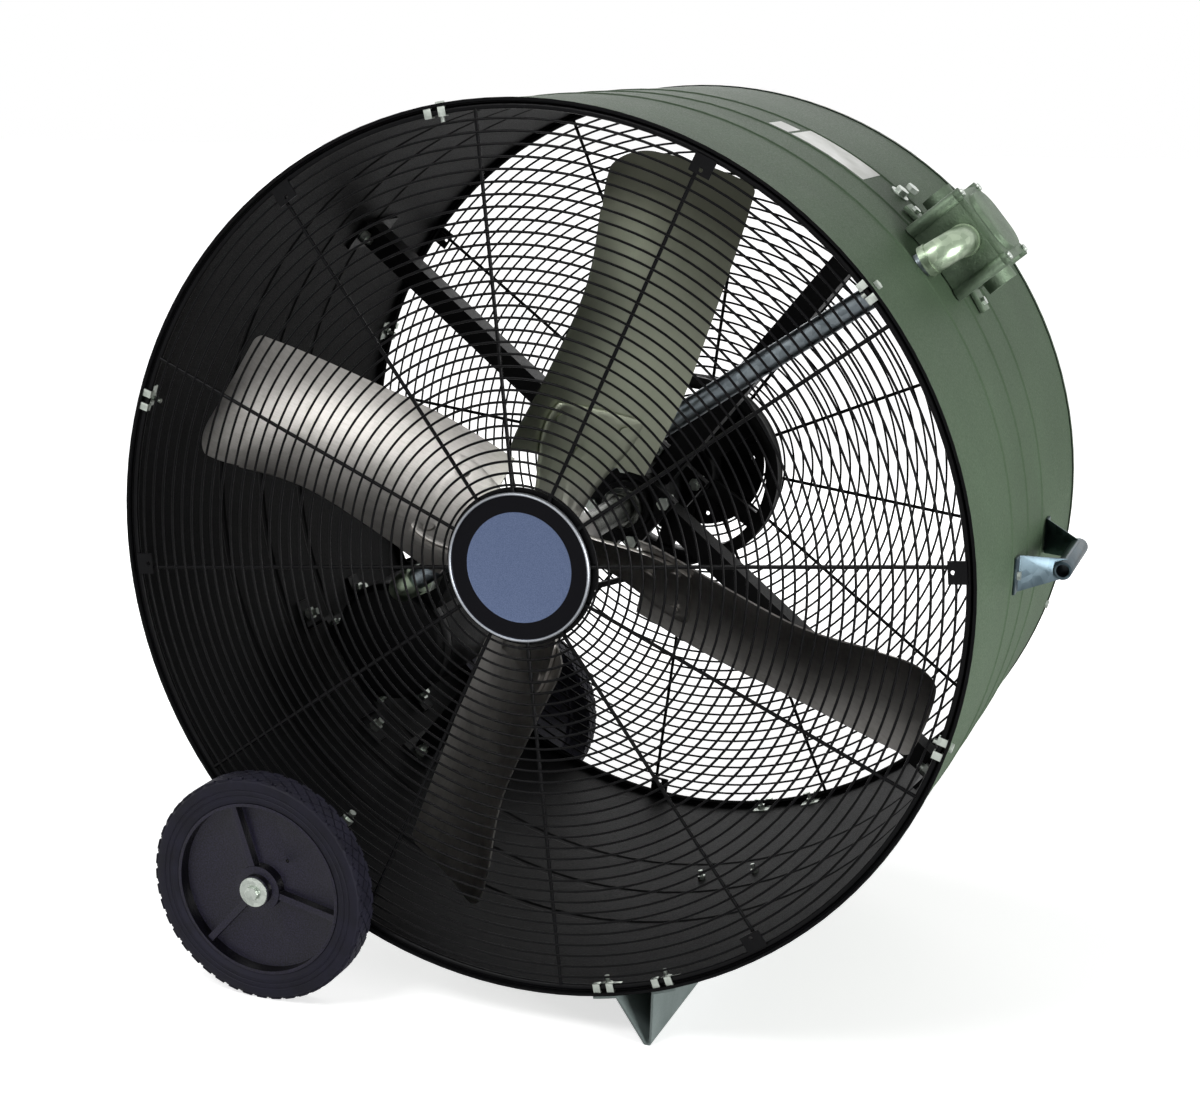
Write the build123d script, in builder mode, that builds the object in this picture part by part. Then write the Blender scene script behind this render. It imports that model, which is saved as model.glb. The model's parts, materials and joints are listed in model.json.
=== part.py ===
from build123d import *
import os
from math import asin, cos, degrees, radians, sin, sqrt

# Belt-drive drum fan on two wheels and a folded leg.
# Millimetres, +Z up, the fan blows towards -Y. The origin is on the floor, under the middle of
# the whole object. Angles are seen from the front, counter-clockwise from +X.
# A depth is measured backwards from the drum's front rim.

# Drum
drum_radius = 553.0
drum_depth = 700.0
drum_wall = 2.0
bead_count = 3
bead_first = 227.0
bead_pitch = 107.0
bead_width = 14.0
bead_flat = 7.0
bead_height = 1.5
hem_length = 8.0
hole_gap = 0.3
seat_gap = 0.3
# how far joined regions run into each other, and how far a cut starts outside
bite = 2.0

# Folded leg under the drum
leg_angle = -74.3
leg_reach = 624.0
leg_half_width = 26.5
leg_flange_edge = 56.5
leg_wall = 3.0
leg_tip_radius = 6.0
leg_land = 0.8
leg_bolt_side = 4.25

# Wheels and axle
axle_radius = 12.7
axle_gap = 0.05
tyre_radius = 152.4
tyre_bead_radius = 118.0
tyre_outline = (
    (118.0, -58.0), (124.0, -62.0), (140.0, -62.0), (149.5, -58.0), (tyre_radius, -52.0),
    (tyre_radius, -34.0), (149.5, -28.0), (140.0, -24.0), (124.0, -24.0), (118.0, -28.0),
)
rim_band = 4.5
rim_front = -59.0
rim_back = -27.0
rim_web = 5.0
rim_web_front = -42.0
rim_rib_count = 3
rim_rib_phase = 107.0
rim_rib_width = 9.0
rim_rib_height = 13.0
rim_hole_radius = 2.5
rim_hole_middle = 54.0
rim_hole_angle = 46.0
hub_radius = 21.0
hub_front = -65.0
hub_back = -19.0
hub_step_radius = 31.0
hub_step_front = -56.0
axle_play = 0.5
washer_radius = 20.0
washer_height = 2.5
hub_bolt_flats = 17.0
hub_bolt_length = 32.0
axle_bolt_depth = 166.0
axle_bolt_length = 48.0

# Guards
guard_rod_radius = 4.0
guard_front = 3.0
guard_grid = 5.0
ring_pitch = 14.3
ring_wire = 3.2
spoke_count = 12
spoke_rod = 5.0
spoke_start = 70.0
front_spoke_phase = 5.2
rear_spoke_phase = -7.7
tab_count = 6
tab_lag = 0.6
tab_length = 22.0
tab_width = 27.0
tab_wall = 2.0
tab_inset = 12.2
tab_hole_radius = 2.75
tab_hole_inset = 5.1
plate_radius = 98.0
plate_wall = 1.5
plate_hole_circle = 81.0
medallion_outline = (
    (0.0, 1.5), (88.6, 1.5), (90.2, -2.5), (91.6, -2.5), (93.0, -0.5), (93.0, 3.0), (0.0, 3.0),
)

# Guard clips and small bolts
clip_angles = (39.8, 100.5, 161.4, 220.5, -17.7)
clip_wall = 1.5
clip_width = 28.0
clip_end = 32.0
finger_width = 9.6
finger_end = 9.0
clip_bolt_depth = 20.0
clip_bolt_length = 20.0
small_bolt_radius = 3.0
small_bolt_flats = 10.0
small_bolt_head = 4.0
small_nut_height = 5.0
wall_bolt_length = 20.0

# Side bracket
bracket_angle = -1.9
bracket_front = 240.0
bracket_back = 488.0
bracket_foot = 18.0
bracket_wall = 3.0
bracket_width = 46.0
bracket_tip_width = 24.0
bracket_tube_middle = 603.5
bracket_tube_radius = 11.5
bracket_bore = 8.0
bracket_tube_length = 135.0
bracket_flat_length = 105.0
bracket_bend_step = 1.0

# Frame that carries the shaft
frame_angle = 50.2
frame_depth = 453.0
tube_size = 31.75
tube_wall = 2.5
arm_foot_bite = 1.8
foot_sweep = 5.2
foot_length = 96.0
foot_wall = 5.0
foot_bolt_side = 32.0
foot_bolt_length = 24.0
bearing_tube_radius = 36.0
bearing_tube_wall = 5.0
bearing_tube_length = 120.0
plate_size = 96.0
end_plate_wall = 6.0
big_bolt_radius = 5.0
big_bolt_flats = 16.0
big_bolt_head = 6.5
big_nut_height = 8.0

# Fan shaft and its bearings
shaft_radius = 18.25
shaft_front = 62.0
shaft_back = 668.0
shaft_chamfer = 2.0
running_gap = 0.05
housing_radius = 38.0
housing_length = 26.0
housing_draft = 6.0
flange_wall = 9.0
flange_bolt_circle = 52.5
flange_bolt_length = 26.0
collar_radius = 28.0
collar_width = 14.0

# Propeller
blade_count = 4
blade_phase = 69.0
blade_tip_gap = 43.0
blade_overrun = 22.0
blade_wall = 2.2
blade_camber = 0.09
blade_start = 20.0
# front edge (side, depth) and back edge (side, depth) at each station
blade_stations = (
    (64.0, 50.0, -46.0, 176.0),
    (78.0, 56.5, -59.3, 184.0),
    (68.8, 67.0, -68.5, 185.7),
    (62.2, 73.0, -68.1, 183.6),
    (77.7, 73.2, -67.0, 176.7),
    (98.0, 67.5, -64.5, 165.0),
)
blade_sections = (112.0, 160.0, 210.0, 270.0, 330.0, 390.0, 450.0)
blade_section_gap = 30.0
blade_section_inset = 1.0
blade_side_limit = 140.0
tip_shoulder = 20.0
tip_line_inset = 80.0
tip_front_corner = 38.0
tip_back_corner = 14.0
arm_sections = ((22.0, 0.2), (70.0, 0.22), (126.0, 0.3), (162.0, 0.33), (182.0, 0.31))
arm_wall = 4.5
arm_gap = 0.5
spider_radius = 40.0
spider_front = 74.0
spider_back = 168.0
rivet_radius = 4.0
rivet_head_radius = 7.0
rivet_head = 2.5
rivet_gap = 0.6
rivet_reach = 30.0
rivet_spots = ((122.0, 0.5), (162.0, 0.26), (162.0, 0.74))

# Belt drive
drive_depth = 636.0
sheave_radius = 141.0
sheave_width = 26.0
sheave_rim = 18.0
sheave_hub_radius = 44.0
sheave_hub_length = 44.0
sheave_spokes = 5
sheave_phase = 37.0
sheave_spoke_width = 26.0
sheave_spoke_wall = 10.0
bushing_radius = 30.0
bushing_flange_radius = 38.0
bushing_flange = 6.0
groove_width = 14.0
groove_depth = 9.0
belt_width = 13.0
belt_height = 8.0
belt_gap = 0.5
pulley_radius = 43.0
pulley_width = 24.0
pulley_hub_radius = 22.0
pulley_hub_length = 12.0

# Motor
motor_angle = -147.5
motor_wall_gap = 136.0
motor_radius = 86.0
motor_wall = 4.0
motor_front = 330.0
motor_back = 602.0
bell_length = 32.0
bell_wall = 6.0
bell_chamfer = 8.0
bell_bore_gap = 2.0
motor_bearing_radius = 20.0
motor_bearing_width = 14.0
stator_inner_radius = 52.0
stator_length = 120.0
winding_length = 26.0
winding_inset = 6.0
rotor_gap = 0.5
motor_shaft_radius = 7.9
motor_shaft_back = 650.0
motor_shaft_end_gap = 1.0
cradle_front = 362.0
cradle_back = 544.0
cradle_half_width = 75.0
cradle_seat = 96.0
cradle_wall = 4.0
saddle_half_width = 62.0
saddle_rise = 40.0
rail_depths = (376.0, 530.0)
rail_width = 28.0
rail_half_width = 80.0
rail_foot_sweep = 4.2
rail_half_angle = 10.2
rail_foot_shift = 0.2
rail_side_rise = 1.0
cradle_bolt_side = 66.0
cradle_bolt_length = 20.0

# Conduit and terminal box
terminal_angle = 60.3
terminal_middle = 120.0
terminal_bottom = 66.0
terminal_top = 152.0
terminal_width = 66.0
terminal_length = 92.0
terminal_wall = 3.0
terminal_front = 344.0
conduit_angle = 33.5
conduit_depth = 240.0
conduit_radius = 14.75
conduit_wall = 1.6
conduit_end_gap = 1.0
elbow_radius = 19.0
elbow_bore = 12.0
elbow_bend = 32.0
elbow_collar_radius = 20.5
elbow_collar = 9.0
elbow_collar_stop = 0.5
spigot_length = 10.0
gland_radius = 23.0
gland_length = 30.0

# Junction box on the drum
box_front = 293.0
box_length = 118.0
box_width = 112.0
box_height = 68.0
box_wall = 4.0
box_floor = 5.0
box_corner = 10.0
box_waist = 5.0
box_port_height = 48.0
box_hub_height = 40.0
box_hub_radius = 20.0
box_hub_bore = 13.3
box_hub_length = 14.0
lug_reach = 82.0
lug_wall = 6.0
lug_width = 30.0
lug_depth = 378.0
lug_bolt_side = 70.0
cover_wall = 8.0
cover_crown = 6.0
cover_draft = 12.0
cover_margin = 14.0
cover_panel_corner = 30.0
cover_boss_radius = 8.5
cover_screw_radius = 2.5
cover_screw_head_radius = 5.0
cover_screw_head = 3.5
cover_screw_length = 22.0
fender_radius = 13.5
fender_wall = 1.5

# Places that follow from the sizes above
crest_radius = drum_radius + bead_height
inner_radius = drum_radius - drum_wall
axis_height = leg_reach * sin(radians(-leg_angle)) - leg_land
axle_offset = crest_radius + seat_gap + axle_radius
axle_angle = degrees(asin((axis_height - tyre_radius) / axle_offset)) - 180.0
right_reach = bracket_tube_middle * cos(radians(bracket_angle)) + bracket_tube_radius
axis_x = (crest_radius - right_reach) / 2
front_y = -drum_depth / 2
drum_axis = Axis((axis_x, front_y, axis_height), (0, -1, 0))
bead_depths = [bead_first + bead_pitch * index for index in range(bead_count)]
guard_radius = inner_radius - clip_wall - 2 * seat_gap - guard_rod_radius
foot_radius = inner_radius - seat_gap - foot_wall
arm_outer_end = foot_radius + arm_foot_bite
ring_count = int((guard_radius - plate_radius) / ring_pitch)
spoke_turn = 360 / spoke_count
tab_middle = guard_radius - tab_inset
tab_hole_middle = tab_middle - tab_hole_inset
blade_tip_radius = inner_radius - blade_tip_gap
tip_line = blade_tip_radius - tip_line_inset
blade_end = blade_tip_radius + blade_overrun
blade_pitch = (blade_end - blade_start) / (len(blade_stations) - 1)
motor_offset = inner_radius - motor_wall_gap
leg_seat = crest_radius + seat_gap
motor_x = motor_offset * cos(radians(motor_angle))
motor_z = motor_offset * sin(radians(motor_angle))
terminal_x = motor_x + terminal_middle * cos(radians(terminal_angle))
terminal_z = motor_z + terminal_middle * sin(radians(terminal_angle))
along_x = cos(radians(conduit_angle))
along_z = sin(radians(conduit_angle))
conduit_rise = terminal_z * along_x - terminal_x * along_z
conduit_low = terminal_x * along_x + terminal_z * along_z
conduit_high = sqrt((drum_radius + box_port_height) ** 2 - conduit_rise**2)
box_angle = conduit_angle + degrees(asin(conduit_rise / (drum_radius + box_port_height)))
box_middle = box_front + box_length / 2
box_top = leg_seat + box_height

os.makedirs("parts", exist_ok=True)


def save(part, name):
    """Label a finished piece and write its STEP file."""
    part.label = name
    export_step(part, f"parts/{name}.step")


def polar(radius, angle, centre=None):
    """X and Z of a point at a radius and angle about an axis along Y."""
    x, z = centre or (axis_x, axis_height)
    return x + radius * cos(radians(angle)), z + radius * sin(radians(angle))


def front_plane(depth, centre=None):
    """Plane square to the drum's axis. Its normal points to the front, its Y up."""
    x, z = centre or (axis_x, axis_height)
    return Plane(origin=(x, front_y + depth, z), x_dir=(1, 0, 0), z_dir=(0, -1, 0))


def out_plane(angle, depth, centre=None):
    """Plane square to an axis along Y. Its Y points outwards at the angle."""
    x, z = centre or (axis_x, axis_height)
    side = (sin(radians(angle)), 0, -cos(radians(angle)))
    return Plane(origin=(x, front_y + depth, z), x_dir=side, z_dir=(0, -1, 0))


def wall_plane(angle, depth, radius, side=0.0):
    """Plane over the drum's wall. Its normal points outwards, its X backwards."""
    x, z = polar(radius, angle)
    x -= side * sin(radians(angle))
    z += side * cos(radians(angle))
    normal = (cos(radians(angle)), 0, sin(radians(angle)))
    return Plane(origin=(x, front_y + depth, z), x_dir=(0, 1, 0), z_dir=normal)


def section_plane(angle=0.0, centre=None):
    """Plane through an axis along Y. Its X is the radius, its Y the depth."""
    x, z = centre or (axis_x, axis_height)
    across = (cos(radians(angle)), 0, sin(radians(angle)))
    normal = (-sin(radians(angle)), 0, cos(radians(angle)))
    return Plane(origin=(x, front_y, z), x_dir=across, z_dir=normal)


def turned(points, centre=None):
    """Solid of revolution about an axis along Y from its (radius, depth) outline."""
    x, z = centre or (axis_x, axis_height)
    with BuildPart() as body:
        with BuildSketch(section_plane(0, (x, z))):
            with BuildLine():
                Polyline(*points, close=True)
            make_face()
        revolve(axis=Axis((x, front_y, z), (0, 1, 0)))
    return body.part


def ring(inner, outer, start, end, centre=None):
    """Plain ring about an axis along Y."""
    return turned([(inner, start), (outer, start), (outer, end), (inner, end)], centre)


def arc_band(inner, outer, middle, span):
    """Flat band about the origin, to be added to a sketch."""
    with BuildSketch() as band:
        with BuildLine():
            inside = CenterArc((0, 0), inner, middle - span / 2, span)
            outside = CenterArc((0, 0), outer, middle - span / 2, span)
            Line(inside @ 0, outside @ 0)
            Line(inside @ 1, outside @ 1)
        make_face()
    return band.sketch


def hex_bolts(planes, radius, length, flats, head):
    """Bolts whose heads stand on the planes and whose shanks run against the normals."""
    with BuildPart() as bolts:
        with BuildSketch(*planes):
            RegularPolygon(flats / 2, 6, major_radius=False)
        extrude(amount=head)
        with BuildSketch(*planes):
            Circle(radius)
        extrude(amount=-length)
    return bolts.part


def hex_nuts(planes, radius, flats, height):
    """Nuts that lie under the planes, with room for the bolts' shanks."""
    with BuildPart() as nuts:
        with BuildSketch(*planes):
            RegularPolygon(flats / 2, 6, major_radius=False)
            Circle(radius + hole_gap / 2, mode=Mode.SUBTRACT)
        extrude(amount=-height)
    return nuts.part


def small_bolts(spots, head_radius, length, nut_radius):
    """Small bolts and nuts through the drum's wall at (angle, depth) spots."""
    heads = [wall_plane(angle, depth, head_radius) for angle, depth in spots]
    bolts = hex_bolts(heads, small_bolt_radius, length, small_bolt_flats, small_bolt_head)
    seats = [wall_plane(angle, depth, nut_radius) for angle, depth in spots]
    nuts = hex_nuts(seats, small_bolt_radius, small_bolt_flats, small_nut_height)
    return [bolts, nuts]


def big_bolts(spots, head_radius, length, nut_radius):
    """Big bolts and nuts through the drum's wall at (angle, depth) spots."""
    heads = [wall_plane(angle, depth, head_radius) for angle, depth in spots]
    bolts = hex_bolts(heads, big_bolt_radius, length, big_bolt_flats, big_bolt_head)
    seats = [wall_plane(angle, depth, nut_radius) for angle, depth in spots]
    nuts = hex_nuts(seats, big_bolt_radius, big_bolt_flats, big_nut_height)
    return [bolts, nuts]


# Where each group of fasteners goes through the drum's wall
end_depths = (clip_bolt_depth, drum_depth - clip_bolt_depth)
clip_spots = [(angle, depth) for angle in clip_angles for depth in end_depths]
leg_angles = (leg_angle - leg_bolt_side, leg_angle + leg_bolt_side)
leg_end_spots = [(angle, depth) for angle in leg_angles for depth in end_depths]
leg_mid_depth = bead_first + bead_pitch * 1.5
leg_mid_spots = [(angle, leg_mid_depth) for angle in leg_angles]
axle_spots = [(axle_angle, axle_bolt_depth), (axle_angle, drum_depth - axle_bolt_depth)]
frame_angles = [frame_angle + 90 * index for index in range(4)]
foot_depths = (frame_depth - foot_bolt_side, frame_depth + foot_bolt_side)
frame_spots = [(angle, depth) for angle in frame_angles for depth in foot_depths]
rail_angles = (motor_angle - rail_half_angle, motor_angle + rail_half_angle)
rail_spots = [(angle, depth) for angle in rail_angles for depth in rail_depths]
bracket_spots = [
    (bracket_angle, bracket_front + bracket_foot / 2),
    (bracket_angle, bracket_back - bracket_foot / 2),
]
lug_turn = degrees(asin(lug_bolt_side / leg_seat))
lug_spots = [(box_angle - lug_turn, lug_depth), (box_angle + lug_turn, lug_depth)]
wall_nut = inner_radius - seat_gap


# Drum: rolled sheet with hemmed rims and three beads
with BuildPart() as drum:
    with BuildSketch(section_plane()):
        with Locations((drum_radius - drum_wall / 2, drum_depth / 2)):
            Rectangle(drum_wall, drum_depth)
        hem_x = drum_radius + bead_height / 2
        with Locations((hem_x, hem_length / 2), (hem_x, drum_depth - hem_length / 2)):
            Rectangle(bead_height, hem_length)
        for bead in bead_depths:
            for radius, mode in ((drum_radius, Mode.ADD), (inner_radius, Mode.SUBTRACT)):
                with BuildLine():
                    Polyline(
                        (radius, bead - bead_width / 2),
                        (radius + bead_height, bead - bead_flat / 2),
                        (radius + bead_height, bead + bead_flat / 2),
                        (radius, bead + bead_width / 2),
                        close=True,
                    )
                make_face(mode=mode)
    revolve(axis=drum_axis)
    hole_start = crest_radius + bite
    hole_depth = drum_wall + bead_height + 2 * bite
    small_spots = clip_spots + leg_end_spots + leg_mid_spots + bracket_spots
    small_spots += lug_spots
    with Locations(*[wall_plane(angle, depth, hole_start) for angle, depth in small_spots]):
        Hole(small_bolt_radius + hole_gap, hole_depth)
    big_spots = axle_spots + frame_spots + rail_spots
    with Locations(*[wall_plane(angle, depth, hole_start) for angle, depth in big_spots]):
        Hole(big_bolt_radius + hole_gap, hole_depth)
    wall_reach = sqrt(drum_radius**2 - conduit_rise**2)
    cut_start = wall_reach + 2 * conduit_radius
    with BuildSketch(wall_plane(conduit_angle, conduit_depth, cut_start, conduit_rise)):
        Circle(conduit_radius + hole_gap)
    extrude(amount=-4 * conduit_radius, mode=Mode.SUBTRACT)
save(drum.part, "drum")


# Folded leg: a bent sheet with two flanges on the drum and a ground land on the floor
with BuildPart() as leg:
    with BuildSketch(out_plane(leg_angle, drum_depth)):
        base = leg_seat - 2 * leg_wall
        slope = leg_half_width / (leg_reach - leg_seat)
        base_half = leg_half_width + 2 * leg_wall * slope
        with BuildLine():
            Line((-base_half, base), (base_half, base))
            CenterArc((0, leg_reach - leg_tip_radius), leg_tip_radius, 0, 360)
        make_hull()
        offset(amount=-leg_wall, mode=Mode.SUBTRACT)
        Circle(leg_seat, mode=Mode.SUBTRACT)
        flange_in = degrees(asin((leg_half_width - leg_wall) / leg_seat))
        flange_out = degrees(asin(leg_flange_edge / leg_seat))
        flange_middle = (flange_in + flange_out) / 2
        for middle in (90 - flange_middle, 90 + flange_middle):
            add(arc_band(leg_seat, leg_seat + leg_wall, middle, flange_out - flange_in))
    extrude(amount=drum_depth)
    with BuildSketch(Plane((polar(leg_reach, leg_angle)[0], 0, 0))):
        Rectangle(4 * leg_half_width, drum_depth + leg_wall)
    extrude(amount=-leg_half_width, mode=Mode.SUBTRACT)
    for angle, depth in leg_end_spots + leg_mid_spots:
        with Locations(wall_plane(angle, depth, leg_seat + leg_wall + bite)):
            Hole(small_bolt_radius + hole_gap, leg_wall + 2 * bite)
save(leg.part, "leg")
leg_head = leg_seat + leg_wall + seat_gap


# Clips that hook the guards to the drum, with their bolts
with BuildPart() as clip:
    clip_outer = inner_radius - seat_gap
    clip_front = guard_front - seat_gap - clip_wall
    hook = guard_radius - guard_rod_radius - seat_gap - clip_wall
    clip_sweep = degrees(clip_width / clip_outer)
    finger_sweep = degrees(finger_width / clip_outer)
    with BuildSketch(front_plane(clip_end)):
        add(arc_band(clip_outer - clip_wall, clip_outer, 0, clip_sweep))
    extrude(amount=clip_end - finger_end)
    for side in (-1, 1):
        middle = side * (clip_sweep - finger_sweep) / 2
        for low, high, end in (
            (clip_outer - clip_wall, clip_outer, finger_end),
            (hook, clip_outer, clip_front + clip_wall),
            (hook, hook + clip_wall, finger_end),
        ):
            with BuildSketch(front_plane(end)):
                add(arc_band(low, high, middle, finger_sweep))
            extrude(amount=end - clip_front)
    with Locations(wall_plane(0, clip_bolt_depth, clip_outer + bite)):
        Hole(small_bolt_radius + hole_gap, clip_wall + 2 * bite)
with BuildPart() as guard_clips:
    for angle in (*clip_angles, *leg_angles):
        hooked = clip.part.rotate(drum_axis, angle)
        add(hooked)
        add(hooked.mirror(Plane.XZ))
save(guard_clips.part, "guard_clips")
clip_nut = clip_outer - clip_wall - seat_gap
with BuildPart() as clip_bolts:
    for piece in small_bolts(clip_spots, drum_radius + seat_gap, clip_bolt_length, clip_nut):
        add(piece)
    for piece in small_bolts(leg_end_spots, leg_head, clip_bolt_length + leg_wall, clip_nut):
        add(piece)
save(clip_bolts.part, "clip_bolts")


# Guards: rings on spokes inside a thicker outer rod
def guard(phase):
    """Front guard with its first spoke at the phase."""
    with BuildPart() as grid:
        with BuildSketch(front_plane(guard_front + guard_grid)):
            for index in range(1, ring_count + 1):
                middle = guard_radius - ring_pitch * index
                Circle(middle + ring_wire / 2)
                Circle(middle - ring_wire / 2, mode=Mode.SUBTRACT)
            bar = guard_radius - spoke_start
            with PolarLocations(spoke_start + bar / 2, spoke_count, start_angle=phase):
                Rectangle(bar, spoke_rod)
        extrude(amount=guard_grid)
        with BuildSketch(section_plane(phase + spoke_turn / 2)):
            with Locations((guard_radius, guard_front + guard_rod_radius)):
                Circle(guard_rod_radius)
        revolve(axis=drum_axis)
    return grid.part


def tabs(phase):
    """Flat tabs in front of every second spoke."""
    with BuildPart() as flat:
        with BuildSketch(front_plane(guard_front)):
            with PolarLocations(tab_middle, tab_count, start_angle=phase):
                Rectangle(tab_length, tab_width)
            with PolarLocations(tab_hole_middle, tab_count, start_angle=phase):
                Circle(tab_hole_radius, mode=Mode.SUBTRACT)
        extrude(amount=tab_wall)
    return flat.part


save(guard(front_spoke_phase), "front_guard")
save(guard(rear_spoke_phase).mirror(Plane.XZ), "rear_guard")
with BuildPart() as guard_tabs:
    add(tabs(front_spoke_phase - tab_lag))
    add(tabs(rear_spoke_phase + spoke_turn + tab_lag).mirror(Plane.XZ))
save(guard_tabs.part, "guard_tabs")
save(turned(medallion_outline), "medallion")
plate_front = guard_front + guard_grid
save(ring(0, plate_radius, plate_front, plate_front + plate_wall), "medallion_plate")
with BuildPart() as rear_disc:
    with BuildSketch(front_plane(drum_depth - guard_front + plate_wall)):
        Circle(plate_radius)
        with PolarLocations(plate_hole_circle, 4, start_angle=rear_spoke_phase + spoke_turn / 2):
            Circle(small_bolt_radius, mode=Mode.SUBTRACT)
    extrude(amount=plate_wall)
save(rear_disc.part, "rear_disc")


# Axle with the wheels
wheel_centre = polar(axle_offset, axle_angle)
axle_front = hub_front - axle_play
axle_length = drum_depth - 2 * axle_front
with BuildPart() as axle:
    with BuildSketch(front_plane(drum_depth - axle_front, wheel_centre)):
        Circle(axle_radius)
        Circle(big_bolt_radius + hole_gap, mode=Mode.SUBTRACT)
    extrude(amount=axle_length)
    with BuildSketch(front_plane(drum_depth - axle_front - hub_bolt_length, wheel_centre)):
        Circle(axle_radius)
    extrude(amount=axle_length - 2 * hub_bolt_length)
    for angle, depth in axle_spots:
        with Locations(wall_plane(angle, depth, axle_offset + axle_radius + bite)):
            Hole(big_bolt_radius + hole_gap, 2 * axle_radius + 2 * bite)
save(axle.part, "axle")
with BuildPart() as axle_bolts:
    axle_head = axle_offset + axle_radius + axle_gap
    for piece in big_bolts(axle_spots, axle_head, axle_bolt_length, wall_nut):
        add(piece)
save(axle_bolts.part, "axle_bolts")
with BuildPart() as axle_washers:
    washer_hole = big_bolt_radius + hole_gap
    washer = ring(washer_hole, washer_radius, axle_front - washer_height, axle_front, wheel_centre)
    add(washer)
    add(washer.mirror(Plane.XZ))
save(axle_washers.part, "axle_washers")
with BuildPart() as hub_bolts:
    bolt_plane = front_plane(axle_front - washer_height, wheel_centre)
    hub_bolt = hex_bolts(
        [bolt_plane], big_bolt_radius, hub_bolt_length, hub_bolt_flats, big_bolt_head
    )
    add(hub_bolt)
    add(hub_bolt.mirror(Plane.XZ))
save(hub_bolts.part, "hub_bolts")
with BuildPart() as rim:
    band_outer = tyre_bead_radius - seat_gap
    band_inner = band_outer - rim_band
    for low, high, start, end in (
        (band_inner, band_outer, rim_front, rim_back),
        (hub_step_radius - bite, band_inner + bite, rim_web_front, rim_web_front + rim_web),
        (hub_radius - bite, hub_step_radius, hub_step_front, rim_back),
        (axle_radius + axle_gap, hub_radius, hub_front, hub_back),
    ):
        add(ring(low, high, start, end, wheel_centre))
    with BuildSketch(front_plane(rim_web_front + 1, wheel_centre)):
        rib_length = band_inner - hub_step_radius + 2 * bite
        rib_middle = band_inner + bite - rib_length / 2
        with PolarLocations(rib_middle, rim_rib_count, start_angle=rim_rib_phase):
            Rectangle(rib_length, rim_rib_width)
    extrude(amount=rim_rib_height)
    hole_centre = polar(rim_hole_middle, rim_hole_angle, wheel_centre)
    with BuildSketch(front_plane(rim_web_front + rim_web + bite, hole_centre)):
        Circle(rim_hole_radius)
    extrude(amount=rim_web + 2 * bite, mode=Mode.SUBTRACT)
tyre = turned(tyre_outline, wheel_centre)
save(tyre, "tyre_front")
save(rim.part, "rim_front")
save(tyre.mirror(Plane.XZ), "tyre_rear")
save(rim.part.mirror(Plane.XZ), "rim_rear")


# Side bracket: a bent strip with a rolled socket at its tip
with BuildPart() as bracket:
    seat = drum_radius + seat_gap
    bracket_middle = (bracket_front + bracket_back) / 2
    flat_front = bracket_middle - bracket_flat_length / 2
    flat_back = bracket_middle + bracket_flat_length / 2
    with BuildSketch(section_plane(bracket_angle).offset(-bracket_width / 2)):
        with BuildLine():
            Polyline(
                (seat, bracket_front),
                (seat, bracket_front + bracket_foot),
                (bracket_tube_middle, flat_front),
                (bracket_tube_middle, flat_back),
                (seat, bracket_back - bracket_foot),
                (seat, bracket_back),
                (seat + bracket_wall, bracket_back),
                (seat + bracket_wall, bracket_back - bracket_foot - bracket_bend_step),
                (bracket_tube_middle + bracket_wall, flat_back - bracket_bend_step),
                (bracket_tube_middle + bracket_wall, flat_front + bracket_bend_step),
                (seat + bracket_wall, bracket_front + bracket_foot + bracket_bend_step),
                (seat + bracket_wall, bracket_front),
                close=True,
            )
        make_face()
    extrude(amount=bracket_width)
    half = bracket_width / 2
    tip_half = bracket_tip_width / 2
    with BuildSketch(out_plane(bracket_angle, bracket_back)):
        with BuildLine():
            Polyline(
                (-half, seat),
                (-half, seat + bracket_wall),
                (-tip_half, bracket_tube_middle + bracket_wall),
                (tip_half, bracket_tube_middle + bracket_wall),
                (half, seat + bracket_wall),
                (half, seat),
                close=True,
            )
        make_face()
    extrude(amount=bracket_back - bracket_front, mode=Mode.INTERSECT)
    tube_centre = polar(bracket_tube_middle, bracket_angle)
    for radius, mode in ((bracket_tube_radius, Mode.ADD), (bracket_bore, Mode.SUBTRACT)):
        with BuildSketch(front_plane(bracket_middle + bracket_tube_length / 2, tube_centre)):
            Circle(radius)
        extrude(amount=bracket_tube_length, mode=mode)
    for angle, depth in bracket_spots:
        with Locations(wall_plane(angle, depth, seat + bracket_wall + bite)):
            Hole(small_bolt_radius + hole_gap, bracket_wall + 2 * bite)
save(bracket.part, "side_bracket")


# Crossed frame: four arms with curved feet, and the bearing tube in the middle
with BuildPart() as frame_arm:
    arm_start = bearing_tube_radius + seat_gap
    with BuildSketch(wall_plane(0, frame_depth, arm_start)):
        Rectangle(tube_size, tube_size)
        Rectangle(tube_size - 2 * tube_wall, tube_size - 2 * tube_wall, mode=Mode.SUBTRACT)
    extrude(amount=arm_outer_end - arm_start)
    with BuildSketch(front_plane(frame_depth + foot_length / 2)):
        add(arc_band(foot_radius, foot_radius + foot_wall, 0, foot_sweep))
    extrude(amount=foot_length)
    for depth in foot_depths:
        with Locations(wall_plane(0, depth, inner_radius + bite)):
            Hole(big_bolt_radius + hole_gap, foot_wall + 2 * bite)
for index, angle in enumerate(frame_angles, start=1):
    save(frame_arm.part.rotate(drum_axis, angle), f"frame_arm_{index}")
with BuildPart() as frame_bolts:
    foot_nut = foot_radius - seat_gap
    for spots, head in (
        (frame_spots[:1], drum_radius + fender_wall + 2 * seat_gap),
        (frame_spots[1:], drum_radius + seat_gap),
    ):
        for piece in big_bolts(spots, head, foot_bolt_length, foot_nut):
            add(piece)
    with BuildSketch(wall_plane(*frame_spots[0], drum_radius + seat_gap)):
        Circle(fender_radius)
        Circle(big_bolt_radius + hole_gap, mode=Mode.SUBTRACT)
    extrude(amount=fender_wall)
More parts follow.
